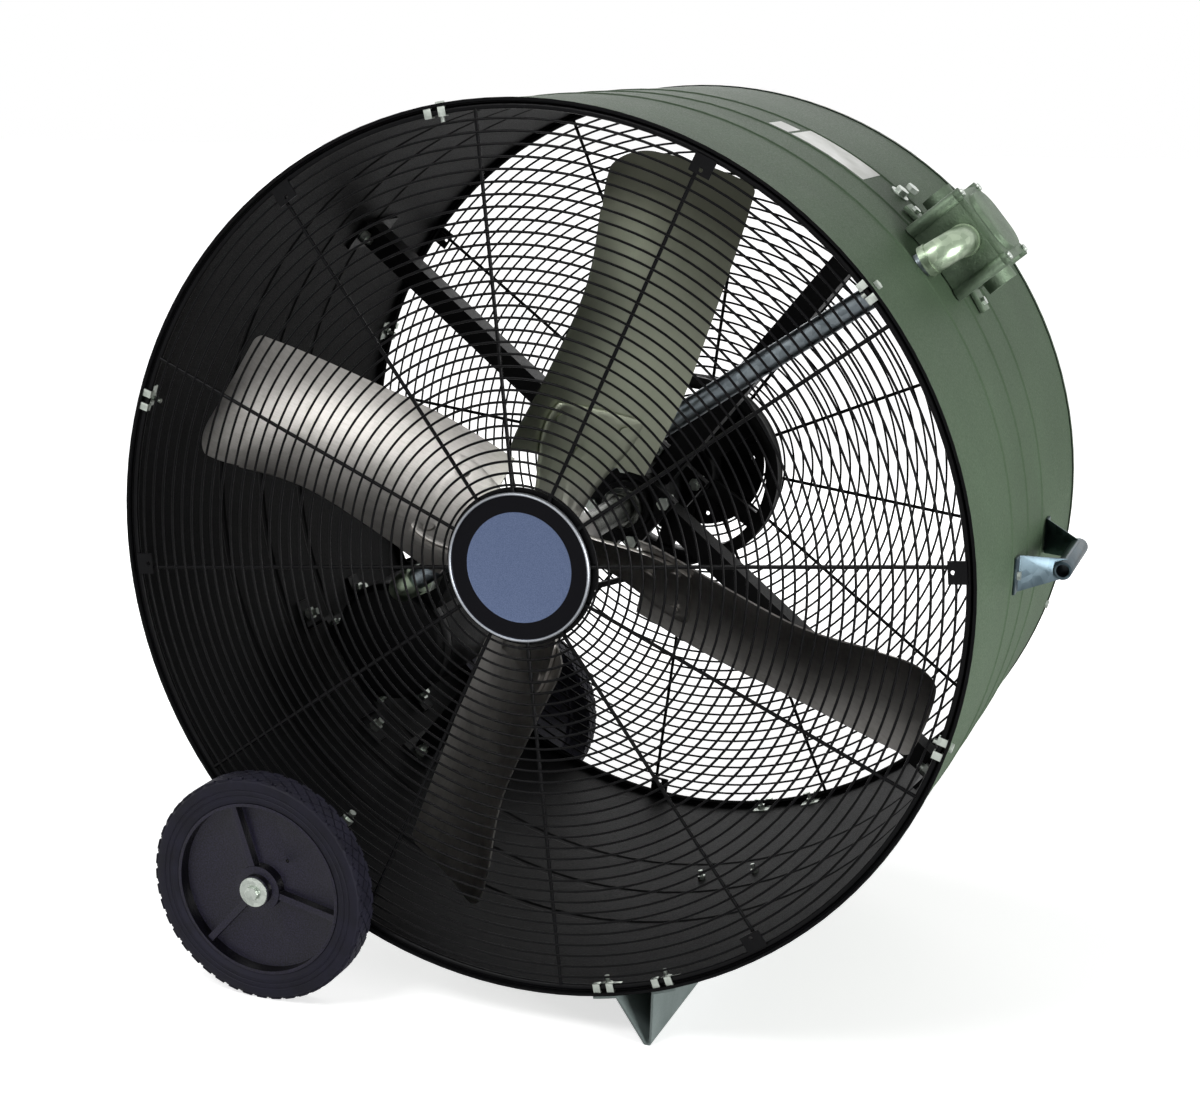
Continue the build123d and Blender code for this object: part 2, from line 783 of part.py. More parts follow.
save(frame_bolts.part, "frame_bolts")
tube_front = frame_depth - bearing_tube_length / 2
tube_back = frame_depth + bearing_tube_length / 2
with BuildPart() as bearing_tube:
    tube_inner = bearing_tube_radius - bearing_tube_wall
    add(ring(tube_inner, bearing_tube_radius, tube_front - bite, tube_back + bite))
    for end in (tube_front, tube_back + end_plate_wall):
        with BuildSketch(front_plane(end)):
            Rectangle(plate_size, plate_size, rotation=frame_angle)
            Circle(tube_inner, mode=Mode.SUBTRACT)
            with PolarLocations(flange_bolt_circle, 4, start_angle=frame_angle + 45):
                Circle(big_bolt_radius + hole_gap, mode=Mode.SUBTRACT)
        extrude(amount=end_plate_wall)
save(bearing_tube.part, "bearing_tube")
flange_back = tube_front - end_plate_wall
with BuildPart() as bearing:
    with BuildSketch(front_plane(flange_back)):
        Rectangle(plate_size, plate_size, rotation=frame_angle)
        with PolarLocations(flange_bolt_circle, 4, start_angle=frame_angle + 45):
            Circle(big_bolt_radius + hole_gap, mode=Mode.SUBTRACT)
    extrude(amount=flange_wall)
    with BuildSketch(front_plane(flange_back)):
        Circle(housing_radius)
    extrude(amount=housing_length, taper=housing_draft)
    with BuildSketch(front_plane(flange_back)):
        Circle(shaft_radius + running_gap)
    extrude(amount=housing_length, mode=Mode.SUBTRACT)
frame_mirror = Plane.XZ.offset(-(front_y + frame_depth))
save(bearing.part, "bearing_front")
save(bearing.part.mirror(frame_mirror), "bearing_rear")
with BuildPart() as bearing_bolts:
    corners = [polar(flange_bolt_circle, frame_angle + 45 + 90 * index) for index in range(4)]
    heads = [front_plane(flange_back - flange_wall, corner) for corner in corners]
    seats = [front_plane(tube_front, corner) for corner in corners]
    for piece in (
        hex_bolts(heads, big_bolt_radius, flange_bolt_length, big_bolt_flats, big_bolt_head),
        hex_nuts(seats, big_bolt_radius, big_bolt_flats, big_nut_height),
    ):
        add(piece)
        add(piece.mirror(frame_mirror))
save(bearing_bolts.part, "bearing_bolts")


# Fan shaft and its set collars
shaft_outline = (
    (0, shaft_front),
    (shaft_radius - shaft_chamfer, shaft_front),
    (shaft_radius, shaft_front + shaft_chamfer),
    (shaft_radius, shaft_back - shaft_chamfer),
    (shaft_radius - shaft_chamfer, shaft_back),
    (0, shaft_back),
)
save(turned(shaft_outline), "fan_shaft")
shaft_bore = shaft_radius + seat_gap
with BuildPart() as shaft_collars:
    collar_back = flange_back - housing_length - seat_gap
    collar = ring(shaft_bore, collar_radius, collar_back - collar_width, collar_back)
    add(collar)
    add(collar.mirror(frame_mirror))
save(shaft_collars.part, "shaft_collars")


# Propeller: four cambered blades riveted to a spider
def blade_value(along, column):
    """Smooth value of a station column at a distance from the shaft."""
    place = (along - blade_start) / blade_pitch
    index = min(int(place), len(blade_stations) - 2)
    t = place - index
    values = [row[column] for row in blade_stations]
    padded = [2 * values[0] - values[1], *values, 2 * values[-1] - values[-2]]
    a, b, c, d = padded[index : index + 4]
    return b + t / 2 * (c - a + t * (2 * a - 5 * b + 4 * c - d + t * (3 * (b - c) + d - a)))


def blade_chord(along):
    """Front end, direction and length of a blade section's chord, and its arc's radius."""
    front = Vector(blade_value(along, 0), blade_value(along, 1))
    chord = Vector(blade_value(along, 2), blade_value(along, 3)) - front
    bow = blade_camber * chord.length
    arc = (chord.length**2 / 4 + bow**2) / (2 * bow)
    return front, chord / chord.length, chord.length, arc


def blade_point(along, share, lift):
    """(side, depth) on a blade section. The lift goes to the back."""
    front, chord, length, arc = blade_chord(along)
    rise = sqrt(arc**2 - (length * (share - 0.5)) ** 2) - arc + blade_camber * length
    point = front + chord * (length * share) + Vector(chord.Y, -chord.X) * (rise + lift)
    return point.X, point.Y


def blade_plane(along):
    """Section plane across a blade. Its X is the side, its Y the depth."""
    x, z = polar(along, blade_phase)
    side = (-sin(radians(blade_phase)), 0, cos(radians(blade_phase)))
    inward = (-cos(radians(blade_phase)), 0, -sin(radians(blade_phase)))
    return Plane(origin=(x, front_y, z), x_dir=side, z_dir=inward)


def blade_strip(along, first, last, near, far):
    """One section of a sheet between two lifts, for a loft."""
    with BuildSketch(blade_plane(along)) as strip:
        with BuildLine():
            near_arc = ThreePointArc(*[blade_point(along, s, near) for s in (first, 0.5, last)])
            far_arc = ThreePointArc(*[blade_point(along, s, far) for s in (first, 0.5, last)])
            Line(near_arc @ 0, far_arc @ 0)
            Line(near_arc @ 1, far_arc @ 1)
        make_face()
    return strip.sketch


def rivet_plane(along, share, lift):
    """Plane square to a blade's sheet, with its normal to the back."""
    front, chord, length, arc = blade_chord(along)
    lean = asin(length * (share - 0.5) / arc)
    normal = Vector(chord.Y, -chord.X) * cos(lean) + chord * sin(lean)
    section = blade_plane(along)
    side, depth = blade_point(along, share, 0)
    origin = section.origin + section.x_dir * (side + normal.X * lift)
    origin += section.y_dir * (depth + normal.Y * lift)
    z_dir = section.x_dir * normal.X + section.y_dir * normal.Y
    return Plane(origin=origin, x_dir=section.z_dir, z_dir=z_dir)


blade_cuts = [along for along in blade_sections if along < blade_tip_radius - blade_section_gap]
blade_cuts.append(blade_end - blade_section_inset)
rivet_planes = [rivet_plane(along, share, rivet_reach) for along, share in rivet_spots]
with BuildPart() as blade:
    for along in blade_cuts:
        add(blade_strip(along, 0, 1, 0, blade_wall))
    loft()
    trim_depth = max(row[3] for row in blade_stations) + spider_radius
    with BuildSketch(out_plane(blade_phase, trim_depth)):
        past = 2 * blade_tip_radius - tip_line
        last_section = blade_cuts[-1]
        stretch = (past - tip_line) / (last_section - tip_line)
        line_front = -blade_value(tip_line, 0)
        line_back = -blade_value(tip_line, 2)
        far_front = line_front - (blade_value(last_section, 0) + line_front) * stretch
        far_back = line_back - (blade_value(last_section, 2) + line_back) * stretch
        with BuildLine():
            Polyline(
                (-blade_side_limit, blade_cuts[0]),
                (-blade_side_limit, tip_line - tip_shoulder),
                (line_front, tip_line),
                (far_front, past),
                (far_back, past),
                (line_back, tip_line),
                (blade_side_limit, tip_line - tip_shoulder),
                (blade_side_limit, blade_cuts[0]),
                close=True,
            )
        make_face()
        Circle(blade_tip_radius, mode=Mode.INTERSECT)
        corners = vertices().sort_by(Axis.Y)[-2:].sort_by(Axis.X)
        fillet(corners[0], tip_front_corner)
        fillet(vertices().filter_by(lambda v: v.Y > tip_line + 1).sort_by(Axis.X)[-1], tip_back_corner)
    extrude(amount=trim_depth, mode=Mode.INTERSECT)
    with Locations(*rivet_planes):
        Hole(rivet_radius + hole_gap, 2 * rivet_reach)
for index in range(blade_count):
    save(blade.part.rotate(drum_axis, 360 / blade_count * index), f"blade_{index + 1}")
with BuildPart() as spider_arm:
    for along, share in arm_sections:
        add(blade_strip(along, 0.5 - share, 0.5 + share, -arm_gap - arm_wall, -arm_gap))
    loft()
    with Locations(*rivet_planes):
        Hole(rivet_radius + hole_gap, 2 * rivet_reach)
with BuildPart() as spider:
    add(ring(shaft_bore, spider_radius, spider_front, spider_back))
    for index in range(blade_count):
        add(spider_arm.part.rotate(drum_axis, 360 / blade_count * index))
save(spider.part, "spider")
with BuildPart() as rivet_set:
    front_seat = -arm_gap - arm_wall - rivet_gap
    back_seat = blade_wall + rivet_gap
    for along, share in rivet_spots:
        for lift, radius, length in (
            (front_seat - rivet_head, rivet_head_radius, rivet_head),
            (front_seat - 1, rivet_radius, back_seat - front_seat + 2),
            (back_seat, rivet_head_radius, rivet_head),
        ):
            with BuildSketch(rivet_plane(along, share, lift)):
                Circle(radius)
            extrude(amount=length)
with BuildPart() as rivets:
    for index in range(blade_count):
        add(rivet_set.part.rotate(drum_axis, 360 / blade_count * index))
save(rivets.part, "rivets")


# Belt drive
motor_centre = (axis_x + motor_x, axis_height + motor_z)
hub_half = sheave_hub_length / 2


def pulley_groove(radius):
    """Outline points of a belt groove in a pulley's rim, from the front."""
    start = drive_depth - groove_width / 2
    end = drive_depth + groove_width / 2
    bottom = radius - groove_depth
    return [(radius, start), (bottom, start), (bottom, end), (radius, end)]


def belt_loop(inset):
    """Outline round both pulleys, a set depth under their rims, from the front."""
    with BuildSketch() as loop:
        with BuildLine():
            CenterArc((0, 0), sheave_radius - inset, 0, 360)
            CenterArc((motor_x, motor_z), pulley_radius - inset, 0, 360)
        make_hull()
    return loop.sketch


with BuildPart() as sheave:
    rim_start = drive_depth - sheave_width / 2
    rim_end = drive_depth + sheave_width / 2
    rim_inner = sheave_radius - sheave_rim
    sheave_outline = [(rim_inner, rim_start), (sheave_radius, rim_start)]
    sheave_outline += pulley_groove(sheave_radius)
    sheave_outline += [(sheave_radius, rim_end), (rim_inner, rim_end)]
    add(turned(sheave_outline))
    hub_bore = bushing_radius + seat_gap
    add(ring(hub_bore, sheave_hub_radius, drive_depth - hub_half, drive_depth + hub_half))
    with BuildSketch(front_plane(drive_depth + sheave_spoke_wall / 2)):
        spoke = rim_inner - sheave_hub_radius + 2 * bite
        with PolarLocations(rim_inner + bite - spoke / 2, sheave_spokes, start_angle=sheave_phase):
            Rectangle(spoke, sheave_spoke_width)
    extrude(amount=sheave_spoke_wall)
save(sheave.part, "sheave")
bushing_front = drive_depth - hub_half - seat_gap
bushing_outline = (
    (shaft_bore, bushing_front - bushing_flange),
    (bushing_flange_radius, bushing_front - bushing_flange),
    (bushing_flange_radius, bushing_front),
    (bushing_radius, bushing_front),
    (bushing_radius, drive_depth + hub_half),
    (shaft_bore, drive_depth + hub_half),
)
save(turned(bushing_outline), "sheave_bushing")
with BuildPart() as belt:
    with BuildSketch(front_plane(drive_depth + belt_width / 2)):
        add(belt_loop(belt_gap))
        add(belt_loop(belt_gap + belt_height), mode=Mode.SUBTRACT)
    extrude(amount=belt_width)
save(belt.part, "belt")
pulley_start = drive_depth - pulley_width / 2
pulley_end = drive_depth + pulley_width / 2
motor_bore = motor_shaft_radius + seat_gap
pulley_outline = [
    (motor_bore, pulley_start - pulley_hub_length),
    (pulley_hub_radius, pulley_start - pulley_hub_length),
    (pulley_hub_radius, pulley_start),
    (pulley_radius, pulley_start),
    *pulley_groove(pulley_radius),
    (pulley_radius, pulley_end),
    (motor_bore, pulley_end),
]
save(turned(pulley_outline, motor_centre), "motor_pulley")


# Motor
frame_front = motor_front + bell_length
frame_back = motor_back - bell_length
frame_inner = motor_radius - motor_wall
save(ring(frame_inner, motor_radius, frame_front, frame_back, motor_centre), "motor_frame")
bearing_seat = motor_shaft_radius + running_gap
bell_bore = motor_shaft_radius + bell_bore_gap
bell_skirt = motor_radius - bell_wall
boss_radius = motor_bearing_radius + bell_wall
web_back = motor_front + bell_wall
front_bell_outline = (
    (0, motor_front),
    (motor_radius - bell_chamfer, motor_front),
    (motor_radius, motor_front + bell_chamfer),
    (motor_radius, frame_front),
    (bell_skirt, frame_front),
    (bell_skirt, web_back + bell_wall),
    (bell_skirt - bell_wall, web_back),
    (boss_radius, web_back),
    (boss_radius, web_back + motor_bearing_width),
    (bearing_seat, web_back + motor_bearing_width),
    (bearing_seat, web_back),
    (0, web_back),
)
save(turned(front_bell_outline, motor_centre), "motor_bell_front")
web_front = motor_back - bell_wall
rear_bell_outline = (
    (bell_bore, motor_back),
    (motor_radius - bell_chamfer, motor_back),
    (motor_radius, motor_back - bell_chamfer),
    (motor_radius, frame_back),
    (bell_skirt, frame_back),
    (bell_skirt, web_front - bell_wall),
    (bell_skirt - bell_wall, web_front),
    (boss_radius, web_front),
    (boss_radius, web_front - motor_bearing_width),
    (bearing_seat, web_front - motor_bearing_width),
    (bearing_seat, web_front),
    (bell_bore, web_front),
)
save(turned(rear_bell_outline, motor_centre), "motor_bell_rear")
stator_front = (motor_front + motor_back - stator_length) / 2
stator_back = stator_front + stator_length
stator_outer = frame_inner - seat_gap
winding_inner = stator_inner_radius + winding_inset
winding_outer = stator_outer - winding_inset
stator_outline = (
    (stator_inner_radius, stator_front),
    (winding_inner, stator_front),
    (winding_inner, stator_front - winding_length),
    (winding_outer, stator_front - winding_length),
    (winding_outer, stator_front),
    (stator_outer, stator_front),
    (stator_outer, stator_back),
    (winding_outer, stator_back),
    (winding_outer, stator_back + winding_length),
    (winding_inner, stator_back + winding_length),
    (winding_inner, stator_back),
    (stator_inner_radius, stator_back),
)
save(turned(stator_outline, motor_centre), "stator")
rotor_outer = stator_inner_radius - rotor_gap
save(ring(motor_bore, rotor_outer, stator_front, stator_back, motor_centre), "rotor")
shaft_start = web_back + motor_shaft_end_gap
save(ring(0, motor_shaft_radius, shaft_start, motor_shaft_back, motor_centre), "motor_shaft")


# Motor cradle on two rails
cradle_out = motor_offset + cradle_seat
cradle_spots = [
    (depth, side) for depth in rail_depths for side in (-cradle_bolt_side, cradle_bolt_side)
]
cradle_over = [
    wall_plane(motor_angle, depth, cradle_out - cradle_wall, side) for depth, side in cradle_spots
]
cradle_under = [
    wall_plane(motor_angle, depth, cradle_out + cradle_wall, side) for depth, side in cradle_spots
]
cradle_holes = [
    wall_plane(motor_angle, depth, cradle_out + 2 * cradle_wall, side)
    for depth, side in cradle_spots
]
with BuildPart() as cradle:
    saddle_low = cradle_out - saddle_rise
    for x_half, low, start, end in (
        (cradle_half_width, cradle_out - cradle_wall, cradle_front, cradle_back),
        (saddle_half_width, saddle_low, frame_front + bite, frame_front + bite + cradle_wall),
        (saddle_half_width, saddle_low, cradle_back - 2 * cradle_wall, cradle_back - cradle_wall),
    ):
        with BuildSketch(out_plane(motor_angle, end)):
            with Locations((0, (low + cradle_out) / 2)):
                Rectangle(2 * x_half, cradle_out - low)
        extrude(amount=end - start)
    with BuildSketch(front_plane(cradle_back, motor_centre)):
        Circle(motor_radius + seat_gap)
    extrude(amount=cradle_back - cradle_front, mode=Mode.SUBTRACT)
    with Locations(*cradle_holes):
        Hole(small_bolt_radius + hole_gap, 4 * cradle_wall)
save(cradle.part, "motor_cradle")
with BuildPart() as rails:
    rail_out = inner_radius - seat_gap
    foot_in = rail_out - cradle_wall
    side_high = sqrt(foot_in**2 - rail_half_width**2) + rail_side_rise
    for depth in rail_depths:
        with BuildSketch(out_plane(motor_angle, depth + rail_width / 2)):
            with Locations((0, cradle_out + cradle_wall / 2)):
                Rectangle(2 * rail_half_width, cradle_wall)
            for side in (-1, 1):
                side_x = side * (rail_half_width - cradle_wall / 2)
                with Locations((side_x, (cradle_out + side_high) / 2)):
                    Rectangle(cradle_wall, side_high - cradle_out)
                foot_middle = 90 - side * (rail_half_angle + rail_foot_shift)
                add(arc_band(foot_in, rail_out, foot_middle, rail_foot_sweep))
        extrude(amount=rail_width)
    for angle, depth in rail_spots:
        with Locations(wall_plane(angle, depth, inner_radius + bite)):
            Hole(big_bolt_radius + hole_gap, cradle_wall + 2 * bite)
    with Locations(*cradle_holes):
        Hole(small_bolt_radius + hole_gap, 4 * cradle_wall)
save(rails.part, "motor_rails")
with BuildPart() as rail_bolts:
    rail_nut = foot_in - seat_gap
    for piece in big_bolts(rail_spots, drum_radius + seat_gap, foot_bolt_length, rail_nut):
        add(piece)
save(rail_bolts.part, "rail_bolts")
with BuildPart() as cradle_bolts:
    add(
        hex_bolts(
            cradle_under, small_bolt_radius, cradle_bolt_length, small_bolt_flats, small_bolt_head
        )
    )
    add(hex_nuts(cradle_over, small_bolt_radius, small_bolt_flats, small_nut_height))
save(cradle_bolts.part, "cradle_bolts")


# Terminal box on the motor
spigot_centre = polar(terminal_middle, terminal_angle, motor_centre)
with BuildPart() as terminal_box:
    terminal_back = terminal_front + terminal_length
    for inset, mode in ((0, Mode.ADD), (terminal_wall, Mode.SUBTRACT)):
        top = terminal_top - inset
        width = terminal_width - 2 * inset
        with BuildSketch(out_plane(terminal_angle, terminal_back - inset, motor_centre)):
            with Locations((0, (terminal_bottom + top) / 2)):
                Rectangle(width, top - terminal_bottom)
            fillet(vertices().sort_by(Axis.Y)[-2:], 2 * terminal_wall - inset)
        extrude(amount=terminal_length - 2 * inset, mode=mode)
    with BuildSketch(front_plane(terminal_back, motor_centre)):
        Circle(motor_radius + seat_gap)
    extrude(amount=terminal_length, mode=Mode.SUBTRACT)
    with BuildSketch(front_plane(terminal_front + 2 * terminal_wall, spigot_centre)):
        Circle(conduit_radius + hole_gap)
    extrude(amount=4 * terminal_wall, mode=Mode.SUBTRACT)
save(terminal_box.part, "terminal_box")


# Conduit with its two elbows
def conduit_plane(along):
    """Plane square to the conduit, with its normal towards the junction box."""
    return wall_plane(conduit_angle, conduit_depth, along, conduit_rise)


with BuildPart() as conduit:
    conduit_start = conduit_low + elbow_bend + conduit_end_gap
    conduit_end = conduit_high - elbow_bend - conduit_end_gap
    with BuildSketch(conduit_plane(conduit_start)):
        Circle(conduit_radius)
        Circle(conduit_radius - conduit_wall, mode=Mode.SUBTRACT)
    extrude(amount=conduit_end - conduit_start)
save(conduit.part, "conduit")


def make_elbow(along, turn, leg, spigot):
    """Elbow from the conduit's line to the back, with a spigot at the end of its leg."""
    corner = conduit_plane(along).origin
    toward = conduit_plane(along).z_dir * turn
    bend = Plane(origin=corner, x_dir=toward, z_dir=toward.cross(Vector(0, 1, 0)))
    with BuildPart() as elbow:
        with BuildLine(bend, mode=Mode.PRIVATE) as path:
            FilletPolyline((elbow_bend + elbow_collar, 0), (0, 0), (0, leg), radius=elbow_bend)
        start = Plane(path.line @ 0, z_dir=path.line % 0)
        end = Plane(path.line @ 1, z_dir=path.line % 1)
        with BuildSketch(start):
            Circle(elbow_radius)
        sweep(path=path.line)
        for plane, radius, length in (
            (start, elbow_collar_radius, elbow_collar),
            (end, elbow_collar_radius, -elbow_collar),
            (end, conduit_radius, spigot),
        ):
            with BuildSketch(plane):
                Circle(radius)
            extrude(amount=length)
        with BuildSketch(start):
            Circle(elbow_bore)
        sweep(path=path.line, mode=Mode.SUBTRACT)
        for plane, radius, length in (
            (end, elbow_bore, spigot),
            (start, conduit_radius + hole_gap, elbow_collar - elbow_collar_stop),
        ):
            with BuildSketch(plane):
                Circle(radius)
            extrude(amount=length, mode=Mode.SUBTRACT)
    return elbow.part


wall_leg = box_front + box_waist - seat_gap - conduit_depth
save(make_elbow(conduit_high, -1, wall_leg, spigot_length), "wall_elbow")
gland_front = terminal_front - gland_length
motor_leg = gland_front - conduit_depth - seat_gap
save(make_elbow(conduit_low, 1, motor_leg, spigot_length), "motor_elbow")
with BuildPart() as gland_nut:
    with BuildSketch(front_plane(terminal_front, spigot_centre)):
        RegularPolygon(gland_radius, 8)
    extrude(amount=gland_length)
    inner_end = front_plane(terminal_front + spigot_length, spigot_centre)
    with BuildSketch(inner_end):
        Circle(conduit_radius)
    extrude(amount=spigot_length)
    with BuildSketch(inner_end):
        Circle(elbow_bore)
    extrude(amount=spigot_length + gland_length, mode=Mode.SUBTRACT)
    with BuildSketch(front_plane(gland_front + spigot_length + 1, spigot_centre)):
        Circle(conduit_radius + hole_gap)
    extrude(amount=spigot_length + 1, mode=Mode.SUBTRACT)
save(gland_nut.part, "gland_nut")


# Junction box on the drum
hub_plane = Plane(
    origin=wall_plane(box_angle, box_middle, leg_seat + box_hub_height).origin,
    x_dir=(0, 1, 0),
    z_dir=wall_plane(box_angle, 0, 0).y_dir,
)
hub_end = box_width / 2 + box_hub_length
cover_top = wall_plane(box_angle, box_middle, box_top + cover_wall)
body_length = box_length - 2 * box_waist
body_width = box_width - 2 * box_waist
screw_grid = (box_length - 2 * cover_boss_radius, box_width - 2 * cover_boss_radius, 2, 2)


def box_outline():
    """The box from above: a waisted body with a round boss at each corner."""
    with BuildSketch() as outline:
        RectangleRounded(body_length, body_width, box_corner)
        with GridLocations(*screw_grid):
            Circle(cover_boss_radius)
    return outline.sketch


with BuildPart() as junction_box:
    with BuildSketch(wall_plane(box_angle, box_middle, drum_radius - box_corner)):
        add(box_outline())
    extrude(amount=box_top - drum_radius + box_corner)
    with BuildSketch(front_plane(lug_depth + lug_width / 2)):
        lug_sweep = 2 * degrees(lug_reach / leg_seat)
        add(arc_band(leg_seat - bite, leg_seat + lug_wall, box_angle, lug_sweep))
    extrude(amount=lug_width)
    with BuildSketch(hub_plane):
        Circle(box_hub_radius)
    extrude(amount=hub_end, both=True)
    with BuildSketch(wall_plane(box_angle, box_middle, leg_seat + box_floor)):
        cavity_length = body_length - 2 * box_wall
        cavity_width = body_width - 2 * box_wall
        RectangleRounded(cavity_length, cavity_width, box_corner - box_wall)
        with GridLocations(*screw_grid):
            Circle(cover_boss_radius, mode=Mode.SUBTRACT)
    extrude(amount=box_height, mode=Mode.SUBTRACT)
    with BuildSketch(hub_plane):
        Circle(box_hub_bore)
    extrude(amount=hub_end, both=True, mode=Mode.SUBTRACT)
    port_centre = polar(drum_radius + box_port_height, box_angle)
    with BuildSketch(front_plane(box_front + box_waist + 2 * box_wall, port_centre)):
        Circle(conduit_radius + hole_gap)
    extrude(amount=3 * box_wall, mode=Mode.SUBTRACT)
    with BuildSketch(front_plane(box_front + box_length + box_corner)):
        Circle(leg_seat)
    extrude(amount=box_length + 2 * box_corner, mode=Mode.SUBTRACT)
    with Locations(wall_plane(box_angle, box_middle, box_top)):
        with GridLocations(*screw_grid):
            Hole(cover_screw_radius + hole_gap, cover_screw_length - cover_wall + bite)
    for angle, depth in lug_spots:
        with Locations(wall_plane(angle, depth, leg_seat + lug_wall + bite)):
            Hole(small_bolt_radius + hole_gap, lug_wall + 2 * bite)
save(junction_box.part, "junction_box")
with BuildPart() as box_cover:
    with BuildSketch(wall_plane(box_angle, box_middle, box_top)):
        add(box_outline())
    extrude(amount=cover_wall)
    with BuildSketch(cover_top):
        panel_length = box_length - 2 * cover_margin
        RectangleRounded(panel_length, box_width - 2 * cover_margin, cover_panel_corner)
    extrude(amount=cover_crown, taper=cover_draft)
    with Locations(cover_top):
        with GridLocations(*screw_grid):
            Hole(cover_screw_radius + hole_gap, cover_wall + bite)
save(box_cover.part, "box_cover")
with BuildPart() as cover_screws:
    for radius, length in (
        (cover_screw_head_radius, cover_screw_head),
        (cover_screw_radius, -cover_screw_length),
    ):
        with BuildSketch(cover_top):
            with GridLocations(*screw_grid):
                Circle(radius)
        extrude(amount=length)
save(cover_screws.part, "cover_screws")


# Small bolts that hold the leg, the bracket and the box
with BuildPart() as wall_bolts:
    for spots, head in (
        (leg_mid_spots, leg_head),
        (bracket_spots, drum_radius + bracket_wall + 2 * seat_gap),
        (lug_spots, leg_seat + lug_wall + seat_gap),
    ):
        for piece in small_bolts(spots, head, wall_bolt_length, wall_nut):
            add(piece)
save(wall_bolts.part, "wall_bolts")
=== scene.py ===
# %% [markdown]
# # A portable drum fan, dressed for the camera
# The fan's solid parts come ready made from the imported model. This lesson gives each one a
# finish, remakes the parts whose real surface is finer than a machine drawing shows, and
# lights the whole in a plain pale room. Lengths are in metres, the floor is at zero, and the
# air leaves towards minus Y.

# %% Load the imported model
import json
from math import cos, pi, radians, sin

import bpy
from mathutils import Matrix, Vector

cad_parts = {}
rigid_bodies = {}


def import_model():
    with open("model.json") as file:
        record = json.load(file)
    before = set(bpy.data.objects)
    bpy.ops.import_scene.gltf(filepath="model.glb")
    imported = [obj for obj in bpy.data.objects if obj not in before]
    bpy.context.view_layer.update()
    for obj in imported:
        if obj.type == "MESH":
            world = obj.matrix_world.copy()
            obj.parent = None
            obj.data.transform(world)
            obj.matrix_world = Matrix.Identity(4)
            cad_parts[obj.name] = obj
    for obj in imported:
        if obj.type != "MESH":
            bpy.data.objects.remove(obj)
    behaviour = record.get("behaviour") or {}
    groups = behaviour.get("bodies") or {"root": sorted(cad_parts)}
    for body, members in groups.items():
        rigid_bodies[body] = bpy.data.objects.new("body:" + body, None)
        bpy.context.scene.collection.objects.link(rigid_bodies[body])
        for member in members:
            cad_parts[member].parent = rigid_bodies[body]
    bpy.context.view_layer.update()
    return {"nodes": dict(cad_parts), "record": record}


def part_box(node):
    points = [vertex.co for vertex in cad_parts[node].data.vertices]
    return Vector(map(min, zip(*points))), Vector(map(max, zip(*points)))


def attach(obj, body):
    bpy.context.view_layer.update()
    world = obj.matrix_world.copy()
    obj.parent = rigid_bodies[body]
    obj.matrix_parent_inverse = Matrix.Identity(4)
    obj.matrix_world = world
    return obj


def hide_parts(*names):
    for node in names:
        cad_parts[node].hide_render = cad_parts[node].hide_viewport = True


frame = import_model()
nodes = frame["nodes"]
print("nodes loaded:", len(nodes))

# %% [markdown]
# ## The places everything is measured from
# The drum, its guards and the propeller share one axis that runs front to back. The front rim
# is the zero of every depth, as on a bench drawing, and the two wheels sit outside the rims.
# The places could be typed in, but read from the loaded parts they can't drift from them.

# %% Axis, front rim and wheel centre
MM = 0.001
drum_low, drum_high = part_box("drum")
axis_x = (drum_low.x + drum_high.x) / 2
axis_z = (drum_low.z + drum_high.z) / 2
front_y = drum_low.y
back_y = drum_high.y
tyre_low, tyre_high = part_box("tyre_front")
wheel_x = (tyre_low.x + tyre_high.x) / 2
wheel_z = (tyre_low.z + tyre_high.z) / 2
print("axis at", round(axis_x, 5), round(axis_z, 5))
print("wheels at", round(wheel_x, 5), round(wheel_z, 5))

# %% [markdown]
# ## Camera
# The photograph was taken a little above the fan's top, from its right, with a short telephoto
# lens. A camera could be placed by eye, but this one's place and turn were solved from the two
# rims, which are true circles, so that every part falls where the photograph shows it.

# %% Camera at the photograph's viewing angle
sensor_width = 36.0
focal_pixels = 2039.8
photo_width = 1200
camera_place = (0.9280, -2.5323, 1.2136)
camera_right = Vector((0.9317, 0.3632, -0.0023)).normalized()
camera_ahead = Vector((-0.3526, 0.9030, -0.2453)).normalized()
camera_up = camera_right.cross(camera_ahead)
camera_turn = Matrix((camera_right, camera_up, -camera_ahead)).transposed()

camera_data = bpy.data.cameras.new("camera")
camera_data.sensor_fit = "HORIZONTAL"
camera_data.sensor_width = sensor_width
camera_data.lens = sensor_width * focal_pixels / photo_width
camera = bpy.data.objects.new("camera", camera_data)
bpy.context.scene.collection.objects.link(camera)
camera.matrix_world = Matrix.Translation(camera_place) @ camera_turn.to_4x4()
bpy.context.scene.camera = camera
print("lens:", round(camera_data.lens, 2), "mm")


# %% [markdown]
# ## How a finish is made
# A finish is a small chain of nodes: cloudy noise that shifts the colour a little, finer noise
# that changes the shine, and a height that tilts the surface as grain, rolling marks or wear
# do. Painted pictures could do this too, but a chain of nodes has no seams and stays sharp
# close up. All patterns are laid out in the object's own metres, so that their grain has a
# real size. Most helpers below add one node and hand on its result.

# %% Helper that starts a finish
def start_finish(title, metallic=0.0):
    """A new finish with its shader and the place of each point on the object."""
    made = bpy.data.materials.new(title)
    made.use_nodes = True
    net = made.node_tree
    skin = net.nodes["Principled BSDF"]
    skin.inputs["Metallic"].default_value = metallic
    place = net.nodes.new("ShaderNodeTexCoord").outputs["Object"]
    return made, net, skin, place


print("a finish can be started")


